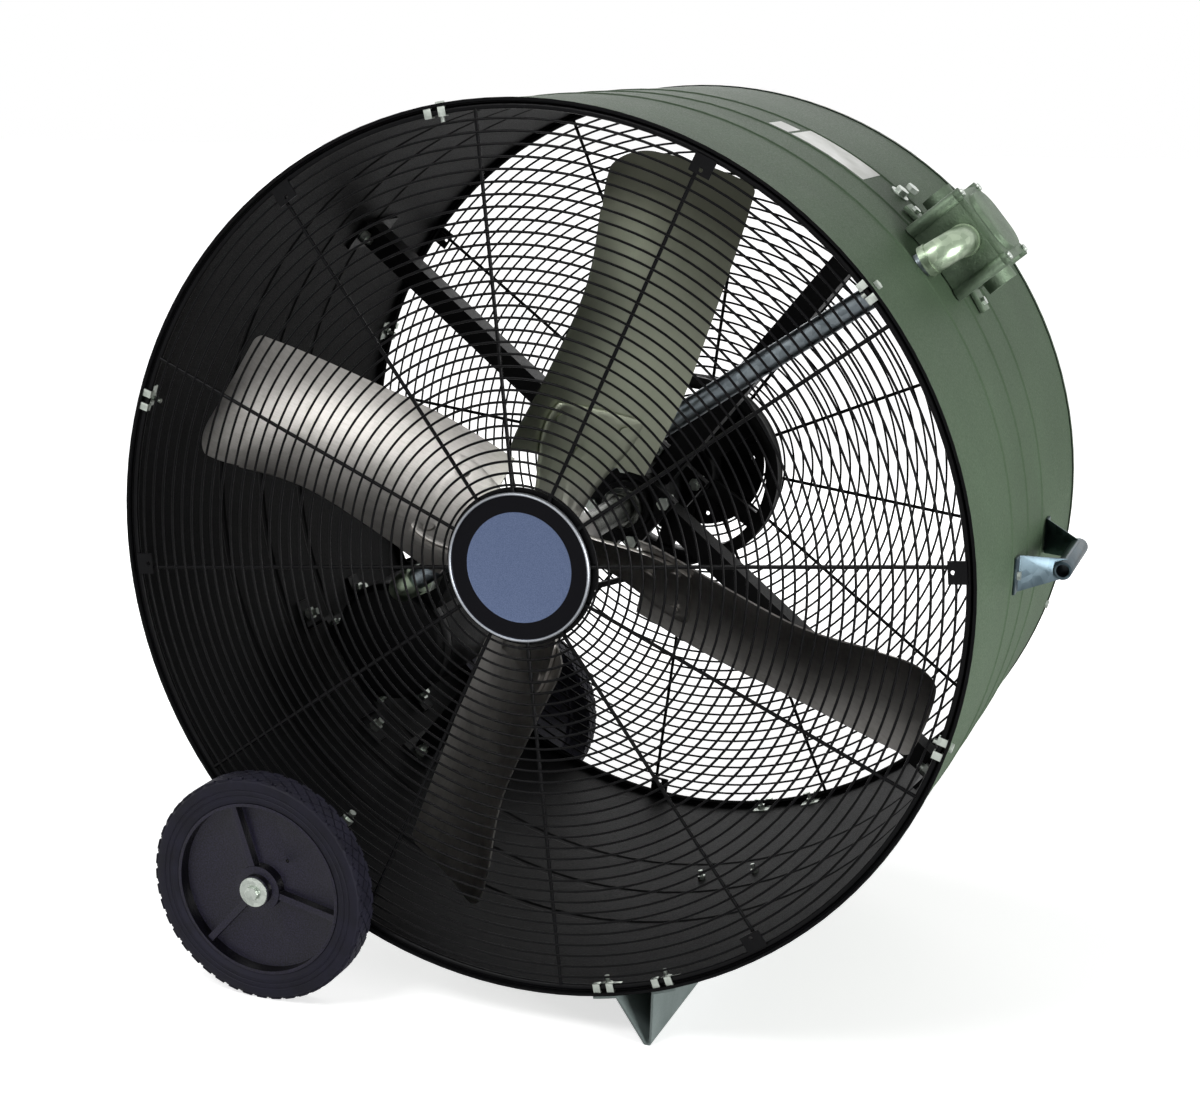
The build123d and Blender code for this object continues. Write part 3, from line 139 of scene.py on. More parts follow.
# %% Helpers that work on one value
def level(net, value, start, end, low, high):
    """A value in one range moved to another, held at its ends."""
    node = net.nodes.new("ShaderNodeMapRange")
    for socket, number in zip(node.inputs[1:5], (start, end, low, high)):
        socket.default_value = number
    net.links.new(value, node.inputs[0])
    return node.outputs[0]


def sums(net, kind, first, second):
    """One step of arithmetic on two values, the second of which may be a number."""
    node = net.nodes.new("ShaderNodeMath")
    node.operation = kind
    net.links.new(first, node.inputs[0])
    if isinstance(second, (int, float)):
        node.inputs[1].default_value = second
    else:
        net.links.new(second, node.inputs[1])
    return node.outputs[0]


def times(net, first, second):
    """Two values multiplied."""
    return sums(net, "MULTIPLY", first, second)


def length(net, vector):
    """The length of a vector."""
    node = net.nodes.new("ShaderNodeVectorMath")
    node.operation = "LENGTH"
    net.links.new(vector, node.inputs[0])
    return node.outputs["Value"]


print("value helpers are ready")

# %% [markdown]
# ## Room and light
# A big pale floor and a white surround stand in for the photographer's paper. Stronger lamps
# could burn the paper white, but they would bleach the fan too. So the paper glows only for
# rays that look at it, from the camera, through something clear or off something shiny, and it
# lights the fan no harder than a studio would. The floor glows less near the fan, which leaves
# room for its shadow. The picture's tones are left straight, with no film curve.


# %% Rays that look at the background
def looked_at(net, shine=1.0):
    """1 for a ray from the camera or through something clear, shine for one off something shiny."""
    rays = net.nodes.new("ShaderNodeLightPath").outputs
    plain = sums(net, "MAXIMUM", rays["Is Camera Ray"], rays["Is Transmission Ray"])
    return sums(net, "MAXIMUM", plain, times(net, rays["Is Glossy Ray"], shine))


print("background rays are ready")

# %% [markdown]
# ## The floor
# An operator acts on all that is selected, and the loaded parts come in selected, so every new
# piece starts with nothing selected and is named as soon as it is there. The floor could sweep
# up behind the fan, as in a studio, but a flat sheet does, because the surround is as white.


# %% Helpers that start a piece
def deselect():
    """Nothing is selected before a new piece starts."""
    bpy.ops.object.select_all(action="DESELECT")


def named(title):
    """Name the active object and its mesh."""
    piece = bpy.context.object
    piece.name = title
    piece.data.name = title
    return piece


print("a piece can be started")

# %% Floor
floor_size = 40.0
floor_cuts = 4
floor_grey = (0.86, 0.86, 0.86, 1)
floor_rough = 0.9
white_colour = (1, 1, 1, 1)
near_reach, far_reach = 0.8, 1.9
near_glow, far_glow = 0.65, 1.0
mirrored_glow = 0.3

deselect()
bpy.ops.mesh.primitive_grid_add(
    x_subdivisions=floor_cuts, y_subdivisions=floor_cuts, size=floor_size
)
floor = named("floor")
paper, net, skin, place = start_finish("paper")
skin.inputs["Base Color"].default_value = floor_grey
skin.inputs["Roughness"].default_value = floor_rough
skin.inputs["Emission Color"].default_value = white_colour
fade = level(net, length(net, place), near_reach, far_reach, near_glow, far_glow)
glow = times(net, looked_at(net, mirrored_glow), fade)
net.links.new(glow, skin.inputs["Emission Strength"])
floor.data.materials.append(paper)
print("floor:", floor.dimensions.x, "m")

# %% White surround
plain_light = 0.17
white_light = 1.0
world = bpy.data.worlds.new("surround")
bpy.context.scene.world = world
world.use_nodes = True
net = world.node_tree
net.nodes.clear()
either = net.nodes.new("ShaderNodeMixShader")
net.links.new(looked_at(net), either.inputs[0])
for socket, strength in zip(either.inputs[1:3], (plain_light, white_light)):
    light = net.nodes.new("ShaderNodeBackground")
    light.inputs["Color"].default_value = white_colour
    light.inputs["Strength"].default_value = strength
    net.links.new(light.outputs[0], socket)
surface = net.nodes.new("ShaderNodeOutputWorld")
net.links.new(either.outputs[0], surface.inputs[0])
bpy.context.scene.view_settings.view_transform = "Standard"
print("surround strength:", plain_light)

# %% [markdown]
# ## Lamps
# Four large soft lamps give the rest of the light: a key above the left front that the left
# blade mirrors, a low fill that runs along the drum's right side, and weaker ones behind and at
# the left. Smaller lamps could do it, but they would throw the guard's wires as hard shadows
# on the blades.


# %% Four soft lamps
def lamp(title, place, aim, size, watts):
    """A square soft lamp that looks at a point."""
    data = bpy.data.lights.new(title, "AREA")
    data.size = size
    data.energy = watts
    piece = bpy.data.objects.new(title, data)
    bpy.context.scene.collection.objects.link(piece)
    piece.location = place
    piece.rotation_euler = (Vector(aim) - Vector(place)).to_track_quat("-Z", "Y").to_euler()
    print(title, watts, "W")


key_size = 1.3
wide_size = 1.6
lamp("key_lamp", (-0.95, -2.3, 3.3), (-0.3, -0.2, 0.7), key_size, 46)
lamp("fill_lamp", (3.3, -1.2, 0.5), (0.3, 0, 0.4), wide_size, 112)
lamp("back_lamp", (-0.6, 3.0, 1.4), (0, 0.2, 0.7), wide_size, 18)
lamp("side_lamp", (-3.2, 0.9, 1.3), (0, 0.2, 0.6), wide_size, 36)

# %% [markdown]
# ## Patterns, colours and heights
# Paint, metal and rubber all differ from point to point, so their colours and shines hang on
# noise. One finish could be copied and changed by hand, but a few helpers that lay out a
# pattern, ramp a colour along it and tilt the surface with it keep all the finishes alike.


# %% Helpers that lay out patterns
def stretched(net, place, scale, centre=(0, 0, 0)):
    """The place, moved to a centre and stretched along X, Y and Z."""
    node = net.nodes.new("ShaderNodeMapping")
    node.inputs["Scale"].default_value = scale
    node.inputs["Location"].default_value = [-c * s for c, s in zip(centre, scale)]
    net.links.new(place, node.inputs["Vector"])
    return node.outputs[0]


def cloud(net, place, scale, detail=3.0, uneven=0.55):
    """Noise between 0 and 1."""
    node = net.nodes.new("ShaderNodeTexNoise")
    node.inputs["Scale"].default_value = scale
    node.inputs["Detail"].default_value = detail
    node.inputs["Roughness"].default_value = uneven
    net.links.new(place, node.inputs["Vector"])
    return node.outputs[0]


def facing(net):
    """The way each face looks, in the object's own directions."""
    return net.nodes["Texture Coordinate"].outputs["Normal"]


print("pattern helpers are ready")


# %% Helpers for colours
def shades(net, value, dark, light, start=0.3, end=0.7):
    """A ramp from one colour to another along a value."""
    node = net.nodes.new("ShaderNodeValToRGB")
    for stop, position, colour in zip(node.color_ramp.elements, (start, end), (dark, light)):
        stop.position = position
        stop.color = (*colour, 1)
    net.links.new(value, node.inputs[0])
    return node.outputs[0]


def mixed(net, value, first, second):
    """Two colours, each a socket or three numbers, mixed by a value."""
    node = net.nodes.new("ShaderNodeMix")
    node.data_type = "RGBA"
    net.links.new(value, node.inputs["Factor"])
    for socket, colour in ((node.inputs[6], first), (node.inputs[7], second)):
        if isinstance(colour, tuple):
            socket.default_value = (*colour, 1)
        else:
            net.links.new(colour, socket)
    return node.outputs[2]


print("colour helpers are ready")


# %% Helpers for heights and for the last step of a finish
def relief(net, skin, heights):
    """Heights, each with its depth in metres, that tilt the surface one after another."""
    tilt = None
    for height, depth in heights:
        node = net.nodes.new("ShaderNodeBump")
        node.inputs["Strength"].default_value = 1.0
        node.inputs["Distance"].default_value = depth
        net.links.new(height, node.inputs["Height"])
        if tilt is not None:
            net.links.new(tilt, node.inputs["Normal"])
        tilt = node.outputs[0]
    net.links.new(tilt, skin.inputs["Normal"])


def coat_with(net, skin, colour, rough, *heights):
    """Give the shader its colour, its roughness and its heights."""
    net.links.new(colour, skin.inputs["Base Color"])
    net.links.new(rough, skin.inputs["Roughness"])
    relief(net, skin, heights)
    print("finish of", len(net.nodes), "nodes")


print("height helpers are ready")

# %% [markdown]
# ## Powder coat on the drum
# The outside is an olive powder coat with a fine orange peel. The inside is the same olive sheet, but
# it sits in shade, so its colour is painted almost black as shade, and so is the colour of the faces
# along the drum's edges. Two separate skins could carry the two colours, but the sheet is one part, so
# one finish asks each face whether it looks away from the axis. Fine speckles darken the olive, and
# faint scuffs lighten it in short streaks that run the way the drum rolls.

# %% Drum paint
ACROSS_AXIS = (1, 0, 1)
edge_start, edge_end = 0.02, 0.08
olive_dark, olive_light = (0.060, 0.091, 0.055), (0.074, 0.112, 0.068)
olive_speck, olive_scuff = (0.044, 0.068, 0.041), (0.098, 0.130, 0.090)
# painted shade: near-black colours for the inside of the olive sheet, which is only in shadow
inside_painted_shade_dark, inside_painted_shade_light = (0.0025, 0.0025, 0.003), (0.0045, 0.0045, 0.005)

drum_paint, net, skin, place = start_finish("drum_paint")
outward = net.nodes.new("ShaderNodeVectorMath")
outward.operation = "DOT_PRODUCT"
net.links.new(stretched(net, place, ACROSS_AXIS, (axis_x, 0, axis_z)), outward.inputs[0])
net.links.new(facing(net), outward.inputs[1])
outside = level(net, outward.outputs["Value"], edge_start, edge_end, 0.0, 1.0)
cloudy = cloud(net, place, 7.0)
speckle = cloud(net, place, 420.0, 2.0)
mottle = level(net, speckle, 0.35, 0.65, 0.0, 0.4)
olive = mixed(net, mottle, shades(net, cloudy, olive_dark, olive_light), olive_speck)
# faces that look towards the axis, and the edge faces, get the painted shade instead of the olive
coat = mixed(net, outside, shades(net, cloudy, inside_painted_shade_dark, inside_painted_shade_light), olive)
scratch = cloud(net, stretched(net, place, (40, 260, 40)), 1.0, 6.0)
scuff = times(net, level(net, scratch, 0.62, 0.72, 0.0, 0.35), outside)
coat = mixed(net, scuff, coat, olive_scuff)
skin.inputs["Specular IOR Level"].default_value = 0.07
dull = level(net, speckle, 0.3, 0.7, 0.46, 0.62)
coat_with(net, skin, coat, dull, (speckle, 0.00035), (cloudy, 0.0008))

# %% [markdown]
# ## The leg's paint
# The folded leg is a paler, bluer grey green than the drum and has more gloss. It could share
# the drum's finish with a mask by height, but a finish of its own is easier to read.

# %% Paler paint of the leg
leg_dark, leg_light = (0.120, 0.150, 0.144), (0.170, 0.205, 0.200)
leg_paint, net, skin, place = start_finish("leg_paint")
cloudy = cloud(net, place, 16.0, 4.0)
speckle = cloud(net, place, 420.0, 2.0)
skin.inputs["Specular IOR Level"].default_value = 0.3
colour = shades(net, cloudy, leg_dark, leg_light)
dull = level(net, speckle, 0.3, 0.7, 0.36, 0.5)
coat_with(net, skin, colour, dull, (speckle, 0.0003), (cloudy, 0.0008))

# %% [markdown]
# ## Black paint and black wire
# The frame, the motor and the guards are satin black. A flat black would do at a distance, but
# a brushed or dipped coat is never even, so the shine wanders and a little dust lightens it in
# places. The wire's coat is the darker and the finer of the two.


# %% Black paints
def black_paint(title, dark, dusty, shine, grain):
    """Satin black paint with dust and a fine grain."""
    made, net, skin, place = start_finish(title)
    cloudy = cloud(net, place, 14.0, 5.0)
    fine = cloud(net, place, grain, 2.0)
    skin.inputs["Specular IOR Level"].default_value = 0.11
    colour = shades(net, cloudy, dark, dusty, 0.35, 0.75)
    dull = level(net, fine, 0.3, 0.7, shine - 0.06, shine + 0.1)
    coat_with(net, skin, colour, dull, (fine, 0.0002), (cloudy, 0.0006))
    return made


satin_black = black_paint("black_paint", (0.003, 0.003, 0.0035), (0.007, 0.007, 0.0078), 0.38, 380.0)
wire_black = black_paint("black_wire", (0.002, 0.002, 0.0024), (0.004, 0.004, 0.0048), 0.32, 600.0)

# %% [markdown]
# ## Zinc plate
# Plated steel shows soft crystals, each a little lighter or darker than the next. Plain grey
# metal would look like chrome here, so cells and clouds share the tone. It is bright on the
# bolts, greenish on the elbows, grey on the conduit and dull on the side bracket.


# %% Four zinc plates
def plus(net, first, second):
    """Two values added."""
    return sums(net, "ADD", first, second)


def zinc_plate(title, dull, bright, grain):
    """Zinc plate with crystals, each a little lighter or darker than the next."""
    made, net, skin, place = start_finish(title, 1.0)
    cells = net.nodes.new("ShaderNodeTexVoronoi")
    cells.inputs["Scale"].default_value = grain
    net.links.new(place, cells.inputs["Vector"])
    grey = net.nodes.new("ShaderNodeRGBToBW")
    net.links.new(cells.outputs["Color"], grey.inputs[0])
    cloudy = cloud(net, place, 30.0, 4.0)
    tone = plus(net, times(net, grey.outputs[0], 0.4), times(net, cloudy, 0.6))
    colour = shades(net, tone, dull, bright, 0.25, 0.7)
    rough = level(net, tone, 0.2, 0.8, 0.26, 0.46)
    coat_with(net, skin, colour, rough, (cloud(net, place, 500.0), 0.0001), (cloudy, 0.0005))
    return made


zinc = zinc_plate("zinc", (0.42, 0.46, 0.42), (0.66, 0.71, 0.65), 160.0)
elbow_zinc = zinc_plate("elbow_zinc", (0.26, 0.33, 0.235), (0.46, 0.55, 0.41), 110.0)
conduit_zinc = zinc_plate("conduit_zinc", (0.13, 0.155, 0.172), (0.36, 0.41, 0.44), 120.0)
dull_zinc = zinc_plate("dull_zinc", (0.042, 0.064, 0.078), (0.115, 0.155, 0.178), 70.0)

# %% [markdown]
# ## Mill finish of the blades
# The blades are bare rolled stock with long fine lines and a few grey stains. On the blade that stands
# upright at rest, an olive tint is painted in as a reflection, and the blade is painted darker towards
# its tip as shade. Each blade could have a finish of its own, but one finish that reads the place of
# each point does for all four, and the painted reflection and shade still turn with their blade.

# %% Rolled stock with stains
bare_dark, bare_light = (0.27, 0.259, 0.245), (0.42, 0.403, 0.383)
grey_stain = (0.17, 0.168, 0.15)
mill_blade, net, skin, place = start_finish("mill_blade", 1.0)
streak = cloud(net, stretched(net, place, (60, 900, 60)), 1.0, 3.0)
cloudy = cloud(net, place, 9.0, 5.0)
both = plus(net, times(net, streak, 0.35), times(net, cloudy, 0.65))
stain = level(net, cloud(net, place, 21.0, 6.0, 0.7), 0.5, 0.72, 0.0, 0.55)
bare = mixed(net, stain, shades(net, both, bare_dark, bare_light, 0.3, 0.72), grey_stain)
print("bare metal:", len(net.nodes), "nodes")


# %% Painted reflection and shade on the upright blade
def along(net, direction, axis):
    """One of a direction's or a place's three parts."""
    node = net.nodes.new("ShaderNodeSeparateXYZ")
    net.links.new(direction, node.inputs[0])
    return node.outputs[axis]


# painted light on the upright blade: an olive reflection, and a dark colour painted as shade towards
# its tip
painted_olive_reflection, painted_tip_shade = (0.285, 0.315, 0.228), (0.030, 0.029, 0.022)
sideways, upwards = along(net, place, "X"), along(net, place, "Z")
rightward = level(net, sideways, axis_x - 0.13, axis_x - 0.03, 0.0, 1.0)
upward = level(net, upwards, axis_z + 0.02, axis_z + 0.10, 0.0, 0.8)
blade_with_painted_light = mixed(net, times(net, rightward, upward), bare, painted_olive_reflection)
height = plus(net, upwards, times(net, cloudy, 0.16))
height = plus(net, height, times(net, sideways, 0.55))
# the painted shade grows towards the upright blade's tip
tip_shade_mask = level(net, height, axis_z + 0.35, axis_z + 0.58, 0.0, 0.86)
blade_with_painted_light = mixed(net, tip_shade_mask, blade_with_painted_light, painted_tip_shade)
rough = level(net, both, 0.25, 0.75, 0.29, 0.42)
coat_with(net, skin, blade_with_painted_light, rough, (streak, 0.00015), (cloudy, 0.001))

# %% [markdown]
# ## Turned steel
# The fan's shaft and its neighbours come off a lathe, which leaves fine rings across their
# length. Rings could be cut in the mesh, but they are far too fine for it, so noise that is
# squeezed along Y stands for them.

# %% Turned steel
steel_dark, steel_light = (0.075, 0.08, 0.07), (0.17, 0.175, 0.16)
shaft_steel, net, skin, place = start_finish("shaft_steel", 1.0)
rings = cloud(net, stretched(net, place, (3, 1600, 3)), 1.0, 2.0)
stain = cloud(net, place, 35.0, 5.0)
colour = shades(net, stain, steel_dark, steel_light, 0.35, 0.65)
coat_with(net, skin, colour, level(net, rings, 0.3, 0.7, 0.22, 0.4), (rings, 0.00012))

# %% [markdown]
# ## Cast aluminium
# The junction box is a sand casting, dull and greenish, with the grain of the sand all over. A
# smooth metal with a soft bevel would look machined, so two heights lie on each other: the
# sand's grain and slow dents from the mould.

# %% Sand-cast aluminium
cast_dark, cast_light = (0.088, 0.120, 0.084), (0.168, 0.226, 0.156)
cast_box, net, skin, place = start_finish("cast_box", 0.85)
sand = cloud(net, place, 330.0, 4.0, 0.7)
cloudy = cloud(net, place, 22.0, 4.0)
colour = shades(net, cloudy, cast_dark, cast_light)
rough = level(net, sand, 0.3, 0.7, 0.42, 0.62)
coat_with(net, skin, colour, rough, (sand, 0.0006), (cloudy, 0.0012))

# %% [markdown]
# ## The hub plate
# The plate in the middle of the guard has a bright turned rim, a black band and a frosted
# centre with a bluish cast. Three rings of mesh could carry the three finishes, but the plate
# is one pressing, so the distance from its centre picks the colour.

# %% Medallion
band_start, band_end, soft_edge = 0.0686, 0.0895, 0.0002
blue_dark, blue_light = (0.092, 0.128, 0.235), (0.172, 0.22, 0.355)
silver_dark, silver_light = (0.30, 0.32, 0.35), (0.46, 0.48, 0.51)
band_black = (0.006, 0.006, 0.008)
medallion_face, net, skin, place = start_finish("medallion_face", 0.9)
reach = length(net, stretched(net, place, ACROSS_AXIS, (axis_x, 0, axis_z)))
frosted = cloud(net, place, 850.0, 3.0, 0.7)
past_start = level(net, reach, band_start - soft_edge, band_start + soft_edge, 0, 1)
before_end = level(net, reach, band_end - soft_edge, band_end + soft_edge, 1, 0)
past_end = level(net, reach, band_end - soft_edge, band_end + soft_edge, 0, 1)
band = times(net, past_start, before_end)
centre = shades(net, frosted, blue_dark, blue_light, 0.32, 0.68)
colour = mixed(net, past_end, centre, shades(net, frosted, silver_dark, silver_light))
colour = mixed(net, band, colour, band_black)
rough = level(net, frosted, 0.3, 0.7, 0.34, 0.5)
coat_with(net, skin, colour, rough, (frosted, 0.00015), (band, 0.0003))

# %% [markdown]
# ## Tyre rubber
# Solid tyre rubber is almost black, with a bluish grey bloom that gathers in patches. The
# bloom also dulls the shine, so one noise drives both, and fine pits keep it from looking wet.

# %% Tyre rubber
rubber_dark, rubber_bloom = (0.0055, 0.0052, 0.010), (0.018, 0.0172, 0.031)
tyre_rubber, net, skin, place = start_finish("tyre_rubber")
bloom = cloud(net, place, 26.0, 5.0, 0.65)
pits = cloud(net, place, 700.0, 2.0)
skin.inputs["Specular IOR Level"].default_value = 0.2
colour = shades(net, bloom, rubber_dark, rubber_bloom, 0.3, 0.75)
coat_with(net, skin, colour, level(net, bloom, 0.3, 0.7, 0.5, 0.72), (pits, 0.0003), (bloom, 0.0006))

# %% [markdown]
# ## Rim plastic
# The rims are moulded: their flat faces are grained and greyish, and the sides of the ribs and of the
# barrel are glossy, with a blacker colour painted on them as shade in the rim's recesses. Two slots
# could split them, but the faces' own directions already do, since every grained face looks along the
# axle.

# %% Rim plastic
grain_dark, grain_light = (0.0035, 0.003, 0.0085), (0.0185, 0.0155, 0.038)
# painted shade: the glossy sides of the ribs and of the barrel are coloured blacker than the plastic's
# grained faces
black_and_painted_shade = (0.0022, 0.002, 0.0035)
rim_plastic, net, skin, place = start_finish("rim_plastic")
swirl = cloud(net, stretched(net, place, (20, 60, 20), (wheel_x, 0, wheel_z)), 1.0, 5.0)
fine = cloud(net, place, 520.0, 2.0)
across = sums(net, "ABSOLUTE", along(net, facing(net), "Y"), 0)
flat_face = level(net, across, 0.8, 0.95, 0.0, 1.0)
colour = mixed(net, flat_face, black_and_painted_shade, shades(net, fine, grain_dark, grain_light, 0.36, 0.64))
skin.inputs["Specular IOR Level"].default_value = 0.34
rough = plus(net, level(net, swirl, 0.3, 0.7, 0.10, 0.16), times(net, flat_face, 0.2))
coat_with(net, skin, colour, rough, (fine, 0.00035), (swirl, 0.0006))

# %% [markdown]
# ## Belt cloth
# The belt is wrapped in woven cloth that picks up dust. A woven mesh would be far too heavy
# for a part that shows only through the guards, so a fine noise stands for the threads.

# %% Belt cloth
cloth_dark, cloth_dusty = (0.012, 0.012, 0.012), (0.03, 0.03, 0.03)
belt_rubber, net, skin, place = start_finish("belt_rubber")
weave = cloud(net, stretched(net, place, (900, 900, 900)), 1.0, 1.0)
dusty = cloud(net, place, 40.0, 4.0)
rough = level(net, dusty, 0.3, 0.7, 0.65, 0.85)
coat_with(net, skin, shades(net, dusty, cloth_dark, cloth_dusty), rough, (weave, 0.0004))

# %% [markdown]
# ## The motor's inside
# The windings are varnished copper and the rotor is a stack of thin steel sheets. Neither shows
# while the bells are on, but a part that is taken apart later still looks right. Both are
# layers along the motor's shaft, so one helper makes them.


# %% Windings and rotor
def motor_inside(title, metallic, dark, light, stretch):
    """Layered or wound metal inside the motor."""
    made, net, skin, place = start_finish(title, metallic)
    layers = cloud(net, stretched(net, place, stretch), 1.0, 2.0)
    rough = level(net, layers, 0.3, 0.7, 0.3, 0.5)
    coat_with(net, skin, shades(net, layers, dark, light), rough, (layers, 0.0004))
    return made


copper_dark, copper_light = (0.28, 0.12, 0.05), (0.5, 0.26, 0.12)
sheet_dark, sheet_light = (0.25, 0.25, 0.25), (0.45, 0.45, 0.45)
copper_core = motor_inside("copper_core", 0.8, copper_dark, copper_light, (200, 900, 200))
rotor_steel = motor_inside("rotor_steel", 1.0, sheet_dark, sheet_light, (20, 2200, 20))

# %% [markdown]
# ## Dress the loaded parts
# Each loaded part names the slot its finish goes to, and five parts get a finish that differs
# from the others in their slot. Only the finish changes: the parts' shapes stay as they came.

# %% Give every loaded part its finish
finishes = {
    "drum_paint": drum_paint,
    "black_paint": satin_black,
    "black_wire": wire_black,
    "zinc": zinc,
    "mill_blade": mill_blade,
    "shaft_steel": shaft_steel,
    "cast_box": cast_box,
    "medallion_face": medallion_face,
    "tyre_rubber": tyre_rubber,
    "rim_plastic": rim_plastic,
    "belt_rubber": belt_rubber,
    "copper_core": copper_core,
    "rotor_steel": rotor_steel,
}
own_finish = {
    "leg": leg_paint,
    "conduit": conduit_zinc,
    "side_bracket": dull_zinc,
    "wall_elbow": elbow_zinc,
    "motor_elbow": elbow_zinc,
}
slot_of = {row["node"]: row["material_slot"] for row in frame["record"]["subparts"]}
for title, piece in nodes.items():
    finish = own_finish.get(title, finishes[slot_of[title]])
    for index in range(len(piece.data.materials)):
        piece.data.materials[index] = finish
print("finished nodes:", len(slot_of))

# %% [markdown]
# ## The moves that come back for every new piece
# A piece's place is fixed in its mesh, it is opened with all of it selected, what touches is
# welded, and its faces are turned outwards. These moves could be written out for each piece,
# but one forgotten line would then be hard to find.

# %% Helpers that shape a piece
WELD = 0.00002


def settle():
    """Fix the active object's place, turn and size in its mesh."""
    bpy.ops.object.transform_apply(location=True, rotation=True, scale=True)


def edit_all():
    """Open the active mesh with all of it selected."""
    bpy.ops.object.mode_set(mode="EDIT")
    bpy.ops.mesh.select_all(action="SELECT")


def close_edit():
    """Leave edit mode."""
    bpy.ops.object.mode_set(mode="OBJECT")


def weld():
    """Merge the points of the open mesh that lie on each other."""
    bpy.ops.mesh.select_all(action="SELECT")
    bpy.ops.mesh.remove_doubles(threshold=WELD)


def full_turn(steps, centre, copies=False):
    """Spin the open mesh's selection once round an axis along Y, as a surface or as copies."""
    bpy.ops.mesh.spin(steps=steps, angle=2 * pi, dupli=copies, center=centre, axis=(0, 1, 0))


print("shaping helpers are ready")


# %% Helpers that join and finish pieces
def select_named(start):
    """Select the pieces whose names have this start, and no others."""
    for piece in bpy.data.objects:
        piece.select_set(piece.name.startswith(start))


def join_into(piece):
    """Join the selected objects into a piece."""
    piece.select_set(True)
    bpy.context.view_layer.objects.active = piece
    bpy.ops.object.join()


def face_outwards(smooth):
    """Turn the active mesh's faces outwards and smooth its edges below an angle in degrees."""
    edit_all()
    bpy.ops.mesh.normals_make_consistent(inside=False)
    close_edit()
    bpy.ops.object.shade_smooth_by_angle(angle=radians(smooth))


def skin_with(piece, finish):
    """Give a piece one finish."""
    piece.data.materials.clear()
    piece.data.materials.append(finish)


print("joining helpers are ready")

# %% [markdown]
# ## Wire guards
# Each guard is 31 round wires welded over 12 round spokes, inside a stout outer rod. The
# loaded part is a flat grid, so the guard is remade in wire. Curves with a round bevel could
# do it, but one small circle for each wire's section, all spun together about the fan's axis,
# makes the rings in one move and leaves a closed mesh. The photograph shows no light between
# the rod and the sheet, so a thin bead closes the slit there.

# %% Sizes of the guards
guard_radius = 0.5449
guard_front = 0.003
rod_radius = 0.004
ring_pitch = 0.0143
ring_count = 31
ring_radius = 0.0016
ring_rise = 0.0006
bead_radius = 0.5499
bead_thick = 0.0012
spoke_radius = 0.0025
spoke_start = 0.070
spoke_count = 12
wire_sides = 8
ring_steps = 144
wire_smooth = 50
front_turn = 5.2
rear_turn = -7.7
print("guard radius:", guard_radius, "m, rings:", ring_count)


# %% Rings of a guard
def about_drum(y):
    """A point on the drum's axis."""
    return (axis_x, y, axis_z)


def guard_rings(title, ring_y, rod_y):
    """The rings, the outer rod and the bead, spun from their sections."""
    deselect()
    radii = [guard_radius - ring_pitch * step for step in range(1, ring_count + 1)]
    sections = [(radius, ring_radius, ring_y) for radius in radii]
    sections.append((guard_radius, rod_radius, rod_y))
    sections.append((bead_radius, bead_thick, rod_y))
    for radius, thick, y in sections:
        bpy.ops.mesh.primitive_circle_add(
            vertices=wire_sides, radius=thick, location=(axis_x + radius, y, axis_z)
        )
        bpy.context.object.name = title + "_section"
    select_named(title + "_section")
    join_into(bpy.context.object)
    guard = named(title)
    settle()
    edit_all()
    full_turn(ring_steps, about_drum(ring_y))
    weld()
    close_edit()
    return guard


# %% Spokes of a guard
def guard_spokes(title, spoke_y, turn):
    """One spoke from the hub to the rod, turned by some degrees and copied round the axis."""
    deselect()
    bpy.ops.mesh.primitive_circle_add(
        vertices=wire_sides,
        radius=spoke_radius,
        fill_type="NGON",
        location=(axis_x + spoke_start, spoke_y, axis_z),
        rotation=(0, pi / 2, 0),
    )
    named(title + "_spokes")
    settle()
    edit_all()
    reach = guard_radius - spoke_start - rod_radius / 2
    bpy.ops.mesh.extrude_region_move(TRANSFORM_OT_translate={"value": (reach, 0, 0)})
    bpy.ops.mesh.select_all(action="SELECT")
    bpy.ops.transform.rotate(value=radians(turn), orient_axis="Y", center_override=about_drum(spoke_y))
    full_turn(spoke_count, about_drum(spoke_y), copies=True)
    weld()
    close_edit()


# %% The two guards
def wire_guard(title, node, face_y, inward, turn):
    """A welded wire guard whose front is at face_y and whose depth grows along inward."""
    ring_y = face_y + inward * (guard_front + ring_rise)
    rod_y = face_y + inward * (guard_front + rod_radius)
    spoke_y = face_y + inward * (guard_front + spoke_radius)
    guard = guard_rings(title, ring_y, rod_y)
    guard_spokes(title, spoke_y, turn)
    join_into(guard)
    face_outwards(wire_smooth)
    skin_with(guard, wire_black)
    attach(guard, "root")
    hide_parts(node)
    print(title, "faces:", len(guard.data.polygons))


wire_guard("front_wires", "front_guard", front_y, 1, front_turn)
wire_guard("rear_wires", "rear_guard", back_y, -1, rear_turn)

# %% [markdown]
# ## Tyres
# A hand-truck tyre of solid rubber has fine grooves round its sidewalls and a block tread:
# diamonds across the middle and oblong ones on each shoulder. The tread could be a bump in the
# finish, but its blocks break the outline, so they are real. The bare tyre is one outline spun
# round the axle, and one pitch of blocks is copied 44 times round it.

# %% Tyre outline and tread blocks
# the outline's radius and its place across the tyre, in millimetres
tyre_outline = (
    (118.0, 15.0), (124.0, 19.0), (127.5, 19.0), (128.4, 18.2), (129.6, 18.2), (130.5, 19.0),
    (134.5, 19.0), (135.4, 18.2), (136.6, 18.2), (137.5, 19.0), (142.0, 18.9), (147.2, 17.8),
    (149.9, 15.6), (150.3, 8.0),
)
tyre_steps = 88
tyre_smooth = 22
tread_pitches = 44
tread_base = 0.1493
tread_top = 0.1519
tread_height = tread_top - tread_base
block_taper = 0.88
